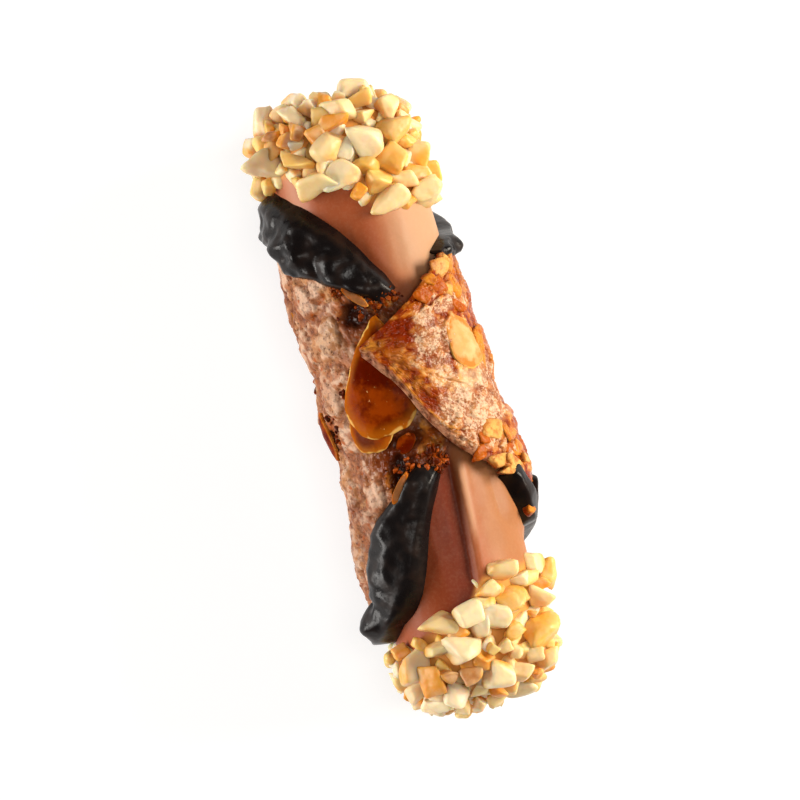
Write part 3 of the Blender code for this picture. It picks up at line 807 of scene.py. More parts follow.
# The first colour on the next line is painted shade beside the rims, with a faint random mottle.
SHADE_AND_MOTTLE, NUT_DUST, CREAM_LIT = (0.10, 0.014, 0.005), (0.60, 0.27, 0.06), (0.60, 0.34, 0.20)
# The first colour on the next line is painted light on the upper notch's right side.
CREAM_LIT_IVORY, CREAM_ROSE = (0.50, 0.29, 0.165), (0.56, 0.25, 0.15)


def cream_paint(angle, along):
    """The colour of each point of the bar, from the soft masks named above."""
    past_fold = angle - through(FOLD_LINE, along)
    cloud = rough(angle * ARC_PER_DEGREE / 7, along / 9, 87, 3)
    # The lobe left of the lower fold is painted dark, as painted shade.
    shaded_lobe = smooth01(0.5 - past_fold / 3.0) * smooth01((past_fold + 60) / 50) * smooth01((-along - 5) / 8)
    # The cream's right side is painted paler: painted light where the lamp on the right falls.
    pale = smooth01((angle - 2.0 + 8 * cloud) / 40.0) * smooth01((130.0 - angle) / 50.0) * (1 - shaded_lobe)
    # A band beside the rims is painted darker: painted shade where the cream meets the sheet.
    edge_shade = smooth01(1.0 - np.abs(notch_depth(angle, along)) / 3.0)
    wrapped = np.where(angle < -90, angle + 360, angle)
    dusted = smooth01((np.abs(along) - through(NUT_EDGE, wrapped) - 0.5) / 2.0)
    colour = blend(np.zeros(past_fold.shape + (3,)) + CREAM_MOIST, CREAM_LIT_PALE, pale)
    colour = blend(colour, CREAM_SHADE, 0.9 * shaded_lobe)
    # The upper notch's right side is painted ivory: painted light.
    ivory = smooth01((angle - 4) / 44) * smooth01((along - 20) / 8)
    colour = blend(colour, CREAM_LIT_IVORY, 0.9 * ivory)
    bulge = np.exp(-(((angle + 46) / 13) ** 2)) * smooth01((along - 38) / 5)
    colour = blend(colour, CREAM_ROSE, 0.9 * bulge)
    # A pale streak along the lower fold's crest: a painted highlight.
    crest_highlight = np.exp(-(((past_fold - 4.5) / 2.2) ** 2)) * smooth01((-along - 13) / 4) * smooth01((32 + along) / 6)
    colour = blend(colour, CREAM_LIT, 0.7 * crest_highlight)
    colour = blend(colour, SHADE_AND_MOTTLE, 0.45 * edge_shade + 0.1 * cloud)
    return blend(colour, NUT_DUST, dusted)


def cream_finish():
    r = Recipe("chocolate_cream", Subsurface_Weight=0.15, Subsurface_Scale=0.0015, Specular_IOR_Level=0.15)
    r.shader.inputs["Subsurface Radius"].default_value = (1.0, 0.35, 0.18)
    paint, _ = r.stored("paint")
    cloud, grain, soft = r.noise(7.0, 3.0), r.noise(0.6, 4.0), r.noise(2.6, 1.0)
    colour = r.mix(r.span(grain, 0.42, 0.7, 0.0, 0.16), paint, r.mix(0.25, paint, (0.74, 0.46, 0.28)))
    return r.finish(colour, r.span(cloud, 0.3, 0.7, 0.40, 0.50), r.bump(grain, 0.015, r.bump(soft, 0.08)))


store(cream, "paint", cream_paint(cream_angle, cream_along).reshape(-1, 3))
dress(cream, cream_finish(), "cream", "cream_filling")

# %% [markdown]
# ## The chocolate dip
#
# Each rim was dipped in melted chocolate, which set as a thick glossy lip. It runs over the rim,
# fills the corner against the cream and ends on the wafer in an uneven line. A closed section is
# carried along the rim in the unrolled sheet, square to the rim, and hills in two sizes make the
# lumps. The edge dives into the wafer, so its outline is wherever the two surfaces cross.

# %% Dipped rims
UPPER_DIP = [(52, 1.6), (66, 3), (90, 5), (150, 8.5), (270, 8), (300, 9), (322, 10.5), (343, 8.4), (360, 4.8), (371, 3)]
LOWER_DIP = [(55, 2.0), (72, 5), (90, 9), (150, 9), (270, 6.5), (292, 6.5), (312, 8.4), (338, 10), (354, 5.5), (368, 3)]
DIP_STATIONS = 420
DIP_SECTION = 44
DIP_THICKNESS = 1.6
DIP_OVERHANG = 2.3
# Round the section: (share of the way round, distance in from the rim as a share of the width
# when over 0 and of the overhang when under it, share of the way out from cream to wafer, height)
DIP_PROFILE = [
    (0.00, 1.06, 1.0, -0.9), (0.07, 1.0, 1.0, 0.30), (0.15, 0.86, 1.0, 1.0), (0.27, 0.58, 1.0, 1.15),
    (0.39, 0.28, 1.0, 0.95), (0.48, 0.02, 1.0, 0.70), (0.56, -0.45, 0.80, 0.35), (0.64, -0.85, 0.36, 0.10),
    (0.70, -1.02, 0.06, 0.0), (0.78, -0.95, 0.0, -0.5), (0.86, -0.3, 0.0, -0.4), (0.93, 0.3, 0.3, 0.0),
    (1.00, 1.06, 0.6, -0.3),
]
# angle, along, radius, height of the large drops that the silhouette shows
DROPS = [
    (289, -42.4, 3.6, 1.7), (293, -37.6, 1.5, -1.3), (305, -45, 2.2, 1.0), (297, 43, 2.2, 1.4), (299, 35.5, 2.4, 0.9), (318, 33, 2.6, 0.9), (90, -22, 2.4, 0.5),
    (84, 27, 2.0, 0.5),
]


def inward_normals(angle, rim, side):
    """Unit directions from the rim onto the unrolled sheet, smoothed over 9 stations."""
    step = np.stack([np.gradient(angle * ARC_PER_DEGREE), np.gradient(rim)], axis=1)
    normal = np.stack([step[:, 1], -step[:, 0]], axis=1) * side
    normal /= np.linalg.norm(normal, axis=1, keepdims=True)
    window = np.hanning(43)[1:-1]
    padded = np.pad(normal, ((20, 20), (0, 0)), mode="edge")
    normal = np.stack([np.convolve(padded[:, k], window / window.sum(), "valid") for k in (0, 1)], 1)
    return normal / np.linalg.norm(normal, axis=1, keepdims=True)


def dip_loops(rim_knots, dip, side, seed):
    """Loops of the lip's section at stations along the rim."""
    station = np.linspace(dip[0][0], dip[-1][0], DIP_STATIONS)
    rim = through(rim_knots, station)
    normal = inward_normals(station, rim, side)
    arc = station * ARC_PER_DEGREE
    ends = smooth01((station - station[0] + 1) / 9) * smooth01((station[-1] - station + 1) / 9)
    slim = 0.42 + 0.58 * smooth01((station - 110) / 35)
    width = through(dip, station) + 0.9 * rough(arc / 3.4, 0.5, seed, 3)
    lump = (1 + 0.30 * hills(arc / 4.6, 1.5, seed + 7) + 0.18 * hills(arc / 1.9, 4.5, seed + 9)) * ends * slim
    thin = 1 - 0.7 * (side < 0) * smooth01((322 - station) / 20) * smooth01((station - 200) / 40)
    over = DIP_OVERHANG * (0.72 + 0.28 * lump) * slim * thin
    way = np.linspace(0, 1, DIP_SECTION, endpoint=False)
    inward, out, rise = (through([(k[0], k[i]) for k in DIP_PROFILE], way) for i in (1, 2, 3))
    reach = np.where(inward > 0, inward * width[:, None], inward * over[:, None])
    angle = station[:, None] + normal[:, :1] * reach / ARC_PER_DEGREE
    along = rim[:, None] + normal[:, 1:] * reach
    skin = wafer_smooth_skin(angle, along) + DIP_THICKNESS * rise * np.where(rise > 0, lump[:, None], 1)
    bead = smooth01((inward + 0.1) / 0.4) * smooth01(rise * 2)
    bumpy = 0.95 if side > 0 else 0.5
    drops = bumpy * rough(angle * ARC_PER_DEGREE / 3.0, along / 3.0, seed + 3, 2) * (0.15 + 0.85 * bead)
    for at, place, radius, height in DROPS:
        gap = np.hypot((angle - at) * ARC_PER_DEGREE, along - place) / radius
        drops = drops + height * np.exp(-1.2 * gap**2) * bead
    cream_side = cream_radius(front_angle(angle), along) - 0.15
    return on_roll(angle, along, cream_side + (skin + drops - cream_side) * np.clip(out, 0, 1))


def chocolate_finish(end, roughness):
    """Set dark chocolate: nearly black, glossy, with a faint brown where it is thin."""
    r = Recipe(f"dark_chocolate_{end}", Specular_IOR_Level=0.18)
    cloud, fine = r.noise(3.0, 1.0), r.noise(0.9, 1.0)
    colour = r.mix(r.span(cloud, 0.4, 0.75), (0.0060, 0.0042, 0.0040), (0.014, 0.007, 0.005))
    normal = r.bump(fine, 0.05, r.bump(cloud, 0.2))
    return r.finish(colour, r.span(cloud, 0.3, 0.7, roughness, roughness + 0.12), normal)


for end, rim, dip, side, seed, roughness in (
    ("upper", UPPER_RIM, UPPER_DIP, 1, 101, 0.22),
    ("lower", LOWER_RIM, LOWER_DIP, -1, 131, 0.26),
):
    lip = loft(f"chocolate_{end}", dip_loops(rim, dip, side, seed))
    dress(lip, chocolate_finish(end, roughness), "chocolate", f"chocolate_rim_{end}")

# %% [markdown]
# ## Chopped nuts
#
# A chopped nut is a small block with flat cuts and slightly blunt edges, and no two are alike. A
# rounded polyhedron has one formula for its radius in a direction d: with cut planes n_k at
# distances h_k, the radius is (sum of max(0, n_k . d / h_k)^p)^(-1/p). A large p gives crisp
# edges. Doing it for all nuts at once in one array is fast, and each nut gets its own planes.

# %% A formula for chopped pieces
SHARPNESS = 8.0


def directions(rows, columns):
    """Unit directions on a grid of rows between two poles, then the poles themselves."""
    polar = np.radians(np.linspace(0, 180, rows + 2)[1:-1])[:, None]
    round_ = np.radians(np.linspace(0, 360, columns, endpoint=False))[None, :]
    ring = np.stack(
        np.broadcast_arrays(np.sin(polar) * np.cos(round_), np.sin(polar) * np.sin(round_), np.cos(polar)), -1
    )
    return np.vstack([ring.reshape(-1, 3), [[0, 0, 1]], [[0, 0, -1]]])


def random_turns(rng, count, most):
    """Rotation matrices about random axes by up to most degrees, by Rodrigues' formula."""
    axis = rng.normal(size=(count, 3))
    axis /= np.linalg.norm(axis, axis=1, keepdims=True)
    angle = np.radians(rng.uniform(-most, most, count))[:, None, None]
    x, y, z = axis.T
    zero = np.zeros(count)
    cross = np.stack([zero, -z, y, z, zero, -x, -y, x, zero], 1).reshape(-1, 3, 3)
    return np.eye(3) + np.sin(angle) * cross + (1 - np.cos(angle)) * cross @ cross


def chopped(rng, half_sizes, grid, bite=0.0):
    """Points of rounded polyhedra, shaped (pieces, points, 3). Each has a top and a bottom that
    lean, four sides at uneven turns and slopes, and three cuts that take its corners off. Five
    sine waves over the directions make the faces uneven by a few percent. A bite dents one side:
    the radius shrinks by a bell of the angle from the bite's direction."""
    count = len(half_sizes)
    turn = rng.uniform(0, 2 * np.pi, (count, 1)) + np.array([0, 1, 2, 3]) * np.pi / 2
    turn = turn + rng.uniform(-0.45, 0.45, (count, 4))
    slope = rng.uniform(-0.5, 0.5, (count, 4))
    sides = np.stack([np.cos(turn) * np.cos(slope), np.sin(turn) * np.cos(slope), np.sin(slope)], -1)
    flats = np.tile([[0, 0, 1.0], [0, 0, -1.0]], (count, 1, 1))
    flats = np.einsum("nkij,nkj->nki", random_turns(rng, count * 2, 26).reshape(count, 2, 3, 3), flats)
    cuts = rng.normal(size=(count, 3, 3))
    cuts /= np.linalg.norm(cuts, axis=2, keepdims=True)
    planes = np.concatenate([flats, sides, cuts], 1)
    support = np.linalg.norm(planes * half_sizes[:, None, :], axis=2)
    share = np.hstack([np.ones((count, 2)), rng.uniform(0.68, 1.05, (count, 4)), rng.uniform(0.62, 0.9, (count, 3))])
    d = directions(*grid)
    pressure = np.maximum(np.einsum("nki,vi->nkv", planes, d), 0) / (support * share)[..., None]
    radius = (pressure**SHARPNESS).sum(1) ** (-1 / SHARPNESS)
    waves, phase = 2.4 * rng.normal(size=(count, 5, 3)), rng.uniform(0, 6.28, (count, 5, 1))
    radius = radius * (1 + 0.13 * np.sin(np.einsum("nki,vi->nkv", waves, d) + phase).mean(1))
    facing = np.einsum("ni,vi->nv", sides[:, 0], d)
    radius = radius * (1 - bite * (share[:, 2:3] < 0.85) * np.exp(-((1 - facing) / 0.22)))
    points = radius[..., None] * d
    return points * (half_sizes / np.abs(points).max(1))[:, None, :], planes


def joined(name, shapes, grid):
    """One mesh from many shapes that share a grid of directions."""
    count, size = shapes.shape[:2]
    walls, caps = loft_faces(*grid)
    offset = (np.arange(count) * size)[:, None, None]
    faces = (walls + offset).reshape(-1, 4).tolist() + (caps + offset).reshape(-1, 3).tolist()
    return make_piece(name, shapes.reshape(-1, 3), faces)


# %% [markdown]
# The nuts that face up are listed one by one: each has a place across and along, a width and height seen from above,
# and a tone. Both ends were pressed into the same bowl, so the lower end repeats the layout mirrored, with small
# changes. The rest are scattered round the back by throwing darts: a place is kept if no kept nut is nearer than 4.3
# mm.

# %% Nut layout
TONES = {
    "ivory": (0.84, 0.66, 0.40), "cream": (0.86, 0.62, 0.30), "pale": (0.84, 0.68, 0.46),
    "yellow": (0.82, 0.50, 0.13), "gold": (0.74, 0.40, 0.07), "orange": (0.74, 0.27, 0.02),
    "brown": (0.46, 0.18, 0.04),
}
# across, out along the roll, width, height, tone
UPPER_NUTS = [
    (5.5, 62.7, 7, 5, "ivory"), (-4.8, 63.2, 5.7, 2.8, "pale"), (-12.8, 60.7, 4.3, 6.3, "pale"),
    (-8.8, 61.2, 3.4, 3.4, "pale"), (-6.3, 59.8, 5, 4.6, "ivory"), (-2.8, 61, 4.3, 3.2, "pale"),
    (0.5, 61.2, 3.2, 4, "orange"), (2.5, 59.2, 6, 4.3, "cream"), (7, 59.8, 5, 3.2, "yellow"),
    (12.2, 57.0, 4.2, 4.4, "cream"), (-15.7, 56.7, 4.3, 3.4, "pale"), (-11.6, 57.4, 3.6, 3.2, "brown"),
    (-9, 57.6, 3.6, 3.2, "orange"), (-11.8, 54.9, 3.8, 3.2, "orange"), (-9.2, 55.2, 3.6, 3.4, "brown"),
    (-6.8, 56.6, 3.2, 3.6, "brown"), (-7.2, 54.2, 2.8, 2.8, "pale"),
    (0.7, 56.3, 6, 3.4, "orange"), (6.7, 56.7, 4.2, 3, "cream"), (12.3, 52.8, 9.5, 6, "gold"),
    (-14.3, 52.5, 9, 5.5, "ivory"), (-7.7, 50.3, 6, 4.5, "yellow"), (-1.8, 52, 7.5, 6.5, "cream"),
    (1.9, 50.5, 3.6, 4.5, "pale"), (6.2, 51, 5.7, 7, "ivory"), (10.5, 47, 7, 6, "gold"),
    (15.2, 46.7, 4.5, 5.5, "cream"), (-16.6, 48, 3.6, 4.4, "cream"), (-5.3, 45.7, 8, 5.4, "cream"),
    (0.5, 46, 6.4, 5.4, "ivory"), (2.2, 41.9, 3.2, 3.2, "orange"), (5.5, 43, 5.8, 5.2, "yellow"),
    (11.3, 42.5, 4.6, 3.6, "cream"), (7.8, 38.6, 7, 5.6, "cream"), (14.7, 38.4, 5.5, 5.8, "cream"),
    (16.6, 41.9, 4.6, 5.8, "gold"),
]
LOWER_NUTS = [
    (9.0, 37.0, 6.5, 4.2, "cream"), (15.8, 38.4, 4.2, 4.6, "cream"), (18.2, 41.2, 3.6, 5.4, "gold"),
    (15.9, 42.2, 4.2, 2.6, "orange"), (6.2, 40.4, 5.2, 3.6, "cream"), (12.3, 40.0, 3.6, 2.8, "ivory"),
    (9.9, 43.1, 5.6, 4.6, "gold"), (15.2, 45.4, 5.6, 5.2, "cream"), (0.9, 43.6, 4.6, 4.8, "ivory"),
    (4.4, 42.9, 4.0, 3.0, "cream"), (6.9, 46.8, 5.6, 6.4, "ivory"), (2.7, 46.9, 3.4, 4.0, "pale"),
    (-5.1, 44.4, 7.2, 4.4, "cream"), (-6.6, 49.6, 5.2, 3.8, "cream"), (-1.1, 50.5, 7.0, 6.4, "ivory"),
    (-12.4, 51.9, 7.0, 5.6, "ivory"), (-13.4, 56.4, 4.6, 4.2, "pale"), (-9.7, 55.0, 4.6, 5.6, "orange"),
    (-6.0, 54.8, 3.4, 3.0, "brown"), (-10.6, 60.4, 4.6, 4.6, "pale"), (-5.3, 59.2, 5.0, 4.6, "pale"),
    (-4.9, 62.9, 3.4, 3.2, "cream"), (-1.6, 62.5, 3.2, 3.0, "pale"), (-1.1, 60.0, 3.0, 2.6, "cream"),
    # The brown nut at -1.4 across and 56.4 along is a dark nut put in a deep gap between the nuts: painted shade.
    (-1.4, 56.4, 4.0, 3.6, "brown"), (1.4, 53.6, 3.8, 4.2, "orange"), (3.7, 51.9, 2.4, 2.2, "yellow"),
    (3.9, 57.1, 6.6, 5.0, "ivory"), (2.1, 60.4, 3.2, 3.2, "orange"), (6.4, 62.3, 7.0, 4.8, "ivory"),
    (8.1, 58.5, 4.6, 3.8, "cream"), (11.0, 59.1, 2.4, 2.4, "orange"), (13.6, 57.1, 4.2, 4.4, "cream"),
    (13.3, 51.4, 8.4, 6.2, "gold"), (8.3, 54.0, 3.4, 3.8, "cream"), (11.6, 55.2, 3.2, 3.0, "cream"),
    (6.0, 52.3, 2.8, 2.8, "cream"), (13.2, 47.4, 2.4, 1.8, "orange"), (-14.2, 47.8, 3.4, 3.0, "orange"),
]
NUT_SHELL_RADIUS = 16.7
NUT_SHELL_REACH = 12.3
NUT_SPACING = 3.7
UNDER_SPACING = 3.4


def shell_point(angle, along, inset=0.0):
    """Where a nut's middle lies on the cap: a tube that closes past CREAM_DOME_START along the
    curve (r / R)^2.6 + (t / T)^2.6 = 1."""
    past = np.clip((along - CREAM_DOME_START) / NUT_SHELL_REACH, 0, 0.9999)
    radius = (NUT_SHELL_RADIUS - inset) * (1 - past**2.6) ** (1 / 2.6)
    a = np.radians(angle)
    return np.stack([radius * np.sin(a), along + 0 * a, radius * np.cos(a)], axis=-1)


def front_places(nuts):
    """Middles of the listed nuts, on the cap's upper side."""
    across, along = np.array([nut[:2] for nut in nuts]).T
    past = np.clip((along - CREAM_DOME_START) / NUT_SHELL_REACH, 0, 0.97)
    radius = NUT_SHELL_RADIUS * (1 - past**2.6) ** (1 / 2.6)
    height = np.sqrt(np.maximum(radius**2 - across**2, 1.0))
    return np.stack([across, along, height], axis=-1)


def scattered_places(rng, taken, inset, spacing):
    """Further middles round the cap, by darts that keep their distance from all others. Darts at
    the end face are spread evenly over it: their share of its radius is the root of a number."""
    kept = list(taken)
    for _ in range(7000):
        angle = rng.uniform(-180, 180)
        wrapped = angle + 360 if angle < -90 else angle
        start = through(NUT_EDGE, wrapped) + 1.6
        if rng.uniform() < 0.4:
            share = np.sqrt(rng.uniform(0, 1))
            along = CREAM_DOME_START + NUT_SHELL_REACH * (1 - share**2.6) ** (1 / 2.6) - 0.5 * inset
            reach = (NUT_SHELL_RADIUS - inset) * share
            place = np.array([reach * np.sin(np.radians(angle)), along, reach * np.cos(np.radians(angle))])
        else:
            place = shell_point(angle, rng.uniform(start, CREAM_DOME_START + 7), inset)
        if not kept or np.linalg.norm(np.array(kept) - place, axis=1).min() > spacing:
            kept.append(place)
    return np.array(kept[len(taken) :])


print(f"{len(UPPER_NUTS)} and {len(LOWER_NUTS)} nuts laid by hand")

# %% [markdown]
# A nut lies flat against the cap, so its own frame is turned until its thin side faces out. The listed nuts keep their
# width and height as seen from above. Each also gets a side where the skin was toasted, and its underside the same
# orange as painted shade; both are stored as a second colour beside its tone.


# %% Build both nut caps
def facing_out(places):
    """For each place the matrix whose columns are round the roll, along it and straight out."""
    past = np.clip((places[:, 1] - CREAM_DOME_START) / NUT_SHELL_REACH, 0, 1)
    out = np.stack([places[:, 0], 10 * past**1.6, places[:, 2]], axis=-1)
    out /= np.linalg.norm(out, axis=1, keepdims=True)
    across = np.cross(np.array([0, 1.0, 0]) + 0 * out, out)
    across /= np.linalg.norm(across, axis=1, keepdims=True)
    return np.stack([across, np.cross(out, across), out], axis=-1)


def nut_cap(end, side, seed, nuts):
    """The cap's nuts as one mesh, with each point's tone and its share of toast and of painted shade."""
    rng = np.random.default_rng(seed)
    hand = front_places(nuts)
    rest = scattered_places(rng, hand, 0.5, NUT_SPACING)
    inner = scattered_places(rng, [], 2.1, UNDER_SPACING)
    inner[:, 1] -= 0.8 * smooth01((inner[:, 1] - CREAM_DOME_START) / 8)
    hand_sizes = np.array([(w / 2, h / 2, 0.40 * (w + h) / 2) for _, _, w, h, _ in nuts]) * 1.27
    hand[:, 2] += rng.uniform(-0.9, 0.7, len(hand))
    rest_sizes = rng.uniform((2.1, 1.8, 1.3), (3.3, 2.6, 2.0), (len(rest), 3))
    inner_sizes = rng.uniform((1.7, 1.6, 1.2), (2.6, 2.4, 1.8), (len(inner), 3))
    names = [nut[4] for nut in nuts]
    spare = rng.choice(["ivory", "cream", "pale", "cream", "gold", "orange", "yellow", "ivory"], len(rest) + len(inner))
    tone = np.array([TONES[name] for name in names + list(spare)])
    tone = tone * rng.uniform(0.9, 1.08, (len(tone), 1))
    batches = [(hand, hand_sizes, (24, 38), 20), (np.vstack([rest, inner]), np.vstack([rest_sizes, inner_sizes]), (11, 18), 50)]
    pieces, start = [], 0
    for places, sizes, grid, most in batches:
        shapes, planes = chopped(rng, sizes, grid, bite=0.25)
        turns = facing_out(places)
        if start == 0:
            turns[:] = np.eye(3)
        turns = random_turns(rng, len(places), most) @ turns
        points = np.einsum("nij,nvj->nvi", turns, shapes) + places[:, None, :]
        world = np.stack([AXIS_X + points[..., 0], AXIS_Y + side * points[..., 1], AXIS_Z + points[..., 2]], -1)
        world[..., 2] = np.maximum(world[..., 2], 0.05)
        toast_and_shade = smooth01((np.einsum("nvi,ni->nv", shapes, planes[:, 7]) / sizes.mean(1)[:, None] - 0.35) / 0.4)
        toast_and_shade *= rng.uniform(0.3, 1.0, (len(places), 1))
        # The underside of each nut, towards the cap, is painted toasted orange as painted shade between the nuts.
        toast_and_shade = np.maximum(toast_and_shade, 0.85 * smooth01(0.25 - shapes[..., 2] / sizes[:, 2:]))
        piece = joined(f"chopped_nuts_{end}_{'top' if start == 0 else 'rest'}", world, grid)
        store(piece, "tone", np.repeat(tone[start : start + len(places)], world.shape[1], axis=0))
        store(piece, "toast_and_shade", np.repeat(toast_and_shade.reshape(-1, 1), 3, axis=1))
        start += len(places)
        pieces.append(piece)
    print(f"{end} end: {start} nuts")
    return pieces


def nut_finish():
    """Blanched nut: waxy ivory with a fine grain, light passing in a little, one toasted side, and the same orange
    underneath as painted shade.
    """
    r = Recipe("chopped_nut", Subsurface_Weight=0.4, Subsurface_Scale=0.005)
    r.shader.inputs["Subsurface Radius"].default_value = (1.0, 0.45, 0.12)
    tone, _ = r.stored("tone")
    _, (toast_and_shade, _, _) = r.stored("toast_and_shade")
    cloud, fine, soft = r.noise(2.6, 4.0), r.noise(0.5, 4.0), r.noise(1.8, 1.0)
    colour = r.mix(r.span(cloud, 0.35, 0.7, 0.0, 0.35), tone, (0.84, 0.63, 0.35))
    brown = r.math("MULTIPLY", toast_and_shade, r.span(cloud, 0.25, 0.6, 0.5, 1.0))
    colour = r.mix(brown, colour, (0.80, 0.34, 0.022))
    colour = r.mix(r.span(fine, 0.62, 0.8, 0.0, 0.3), colour, (0.62, 0.34, 0.10))
    normal = r.bump(soft, 0.22)
    return r.finish(colour, r.span(fine, 0.3, 0.7, 0.36, 0.52), normal)


nut = nut_finish()
for end, side, seed, nuts in (("upper", 1, 7, UPPER_NUTS), ("lower", -1, 12, LOWER_NUTS)):
    for piece in nut_cap(end, side, seed, nuts):
        dress(piece, nut, "chopped_nuts", f"nut_crust_{end}")

# %% [markdown]
# ## Sliced almonds
#
# Sliced almonds were pressed into the batter, and caramel ran over them. A slice is a thin plate
# in a pointed oval that follows the wafer. Its rim is the pale cut flesh, and its face is amber
# where caramel pooled on it, so each point stores how near it is to the rim.

# %% Almond slices
# name, angle, along, heading, length, width, taper, tilt, lift, amber, pale rim
ALMONDS = [
    ("almond_slice_large", 348.0, 5.6, 77.0, 23.6, 12.9, 0.55, 0.0, 0.45, 1.0, 0.85),
    ("almond_slice_right", 47.5, 8.2, 110.0, 11.4, 8.8, 0.16, 0.03, -0.65, 0.05, 0.6),
    ("almond_slice_left", 285.0, -3.2, 86.0, 10.0, 5.4, 0.35, -0.03, -0.45, 1.0, 0.2),
    ("almond_slice_left_high", 282.0, 19.6, 95.0, 7.4, 4.4, 0.35, -0.04, -1.2, 0.8, 0.2),
    ("almond_slice_low", 353.5, -8.2, 35.0, 4.8, 3.2, 0.30, 0.0, -1.05, 1.0, 0.15),
    ("almond_sliver_upper", 346.5, 22.2, 130.0, 6.2, 1.5, 0.20, 0.5, 0.2, 0.75, 0.25),
    ("almond_sliver_lower", 343.0, -16.6, 54.0, 6.6, 1.7, 0.20, 0.5, 0.4, 0.75, 0.25),
    ("almond_slice_under", 334.5, -1.8, 76.0, 14.0, 8.8, 0.30, 0.0, -0.15, 0.95, 0.7),
]
ALMOND_SIDES = 96
ALMOND_RINGS = 30
ALMOND_THICKNESS = 0.65


def almond_loops(angle, along, heading, length, width, taper, tilt, lift, seed):
    """Rings from the middle of the underside, round the rim, to the middle of the face. The
    outline is an ellipse whose width shrinks by the taper towards one tip, with fine bites. Caramel makes the
    face of a wide slice bulge by up to 0.45 mm."""
    turn = np.radians(np.linspace(0, 360, ALMOND_SIDES, endpoint=False))
    bite = 1 + 0.03 * np.sin(3 * turn + seed) + 0.02 * np.sin(7 * turn + 2 * seed) + 0.008 * np.sin(19 * turn)
    to_tip = 0.5 * length * np.cos(turn) * bite
    across = 0.5 * width * np.sin(turn) * (1 - taper * np.cos(turn)) * bite
    t = np.linspace(0, 1, ALMOND_RINGS)[:, None]
    scale = np.clip(np.where(t < 0.3, t / 0.3, np.where(t > 0.45, (1 - t) / 0.55, 1)), 0.02, 1)
    scale = np.where((t >= 0.3) & (t <= 0.45), 1 + 0.02 * np.sin(np.pi * (t - 0.3) / 0.15), scale)
    height = ALMOND_THICKNESS * smooth01((t - 0.28) / 0.19)
    lip = 0.45 * (1 - scale**2) * (t > 0.45) * min(1.0, width / 8)
    h = np.radians(heading)
    around = (to_tip * np.cos(h) - across * np.sin(h)) * scale
    up = (to_tip * np.sin(h) + across * np.cos(h)) * scale
    ripples = 0.20 * rough(around / 3.4 + seed, up / 3.4, 151, 3) * (t > 0.45)
    stand = tilt * across * scale + abs(tilt) * 0.5 * width
    a = angle + around / ARC_PER_DEGREE
    y = along + up
    radius = wafer_smooth_skin(a, y) + lift + height + lip + ripples + stand
    return on_roll(a, y, radius), np.broadcast_to(np.where(t < 0.47, 1.0, scale), radius.shape)


def almond_finish():
    """Amber caramel over a pale nut: the stored numbers are the nearness to the rim, how much
    caramel covers the slice and how pale its cut rim is."""
    r = Recipe("caramelised_almond", Subsurface_Weight=0.12, Subsurface_Scale=0.002, Specular_IOR_Level=0.01)
    _, (rim, amber, pale) = r.stored("slice")
    cloud, fine, soft = r.noise(5.0, 4.0), r.noise(0.7, 4.0), r.noise(1.6, 1.0)
    caramel = r.mix(r.span(cloud, 0.38, 0.62), (0.10, 0.006, 0.0003), (0.28, 0.038, 0.0010))
    caramel = r.mix(r.span(rim, 0.72, 1.0, 0.0, 0.7), caramel, (0.46, 0.12, 0.004))
    nut = r.mix(r.span(cloud, 0.35, 0.65), (0.58, 0.32, 0.11), (0.66, 0.43, 0.20))
    toasted = r.math("ADD", rim, r.span(cloud, 0.3, 0.7, -0.25, 0.25))
    nut = r.mix(r.span(toasted, 0.66, 0.92, 0.0, 0.85), nut, (0.50, 0.15, 0.010))
    colour = r.mix(amber, nut, caramel)
    uneven = r.span(r.noise(3.4, 2.0), 0.35, 0.65, -0.03, 0.05)
    edge = r.span(r.math("ADD", rim, uneven), 0.975, 1.03)
    colour = r.mix(r.math("MULTIPLY", edge, pale), colour, (0.78, 0.47, 0.12))
    # Pale specks where the fine noise is high are painted glints.
    colour = r.mix(r.span(fine, 0.66, 0.76, 0.0, 0.8), colour, (0.72, 0.38, 0.14))
    return r.finish(colour, r.span(fine, 0.35, 0.7, 0.18, 0.34), r.bump(soft, 0.14))


almond = almond_finish()
for number, (name, *outline, amber, pale) in enumerate(ALMONDS):
    loops, rim = almond_loops(*outline, number)
    rim = rim * (0.82 if name == "almond_slice_low" else 1.0)
    piece = loft(name if name == "almond_slice_under" else name + "_dressed", loops)
    store(piece, "slice", np.stack([rim, amber + 0 * rim, pale + 0 * rim], -1).reshape(-1, 3))
    stands_for = [] if name == "almond_slice_under" else [name]
    dress(piece, almond, "sliced_almond", *stands_for)

# %% [markdown]
# ## Caramel crumbs
#
# Bits of almond and boiled sugar stuck to the wafer in clusters, mostly beside the notches and
# along the flap's right side. They are the same rounded blocks as the nuts, only smaller, and
# amber. Each cluster scatters its crumbs round a named middle.

# %% Crumb clusters
# angle, along, spread round, spread along, count, smallest, largest
CLUSTERS = [
    (367, 20.6, 3.0, 1.8, 46, 0.3, 0.8), (369, -12.6, 2.2, 2.6, 34, 0.3, 0.9), (369, -11.8, 2.2, 2.2, 12, 0.7, 1.6),
    (334, 24.5, 1.8, 1.4, 16, 0.4, 1.0), (350, -14.5, 3.0, 4.0, 30, 0.3, 0.9), (350, 20.5, 3.0, 2.4, 24, 0.3, 0.8),
    (300, -3, 1.0, 4.0, 10, 0.4, 1.0),
    (318, 4.5, 0.7, 0.7, 5, 0.4, 0.8), (150, 12, 6, 6, 22, 0.4, 1.2), (215, -14, 7, 6, 24, 0.4, 1.2),
    (110, -8, 4, 7, 20, 0.5, 1.3), (250, 14, 5, 6, 18, 0.4, 1.1), (185, 28, 6, 3, 16, 0.4, 1.1),
]


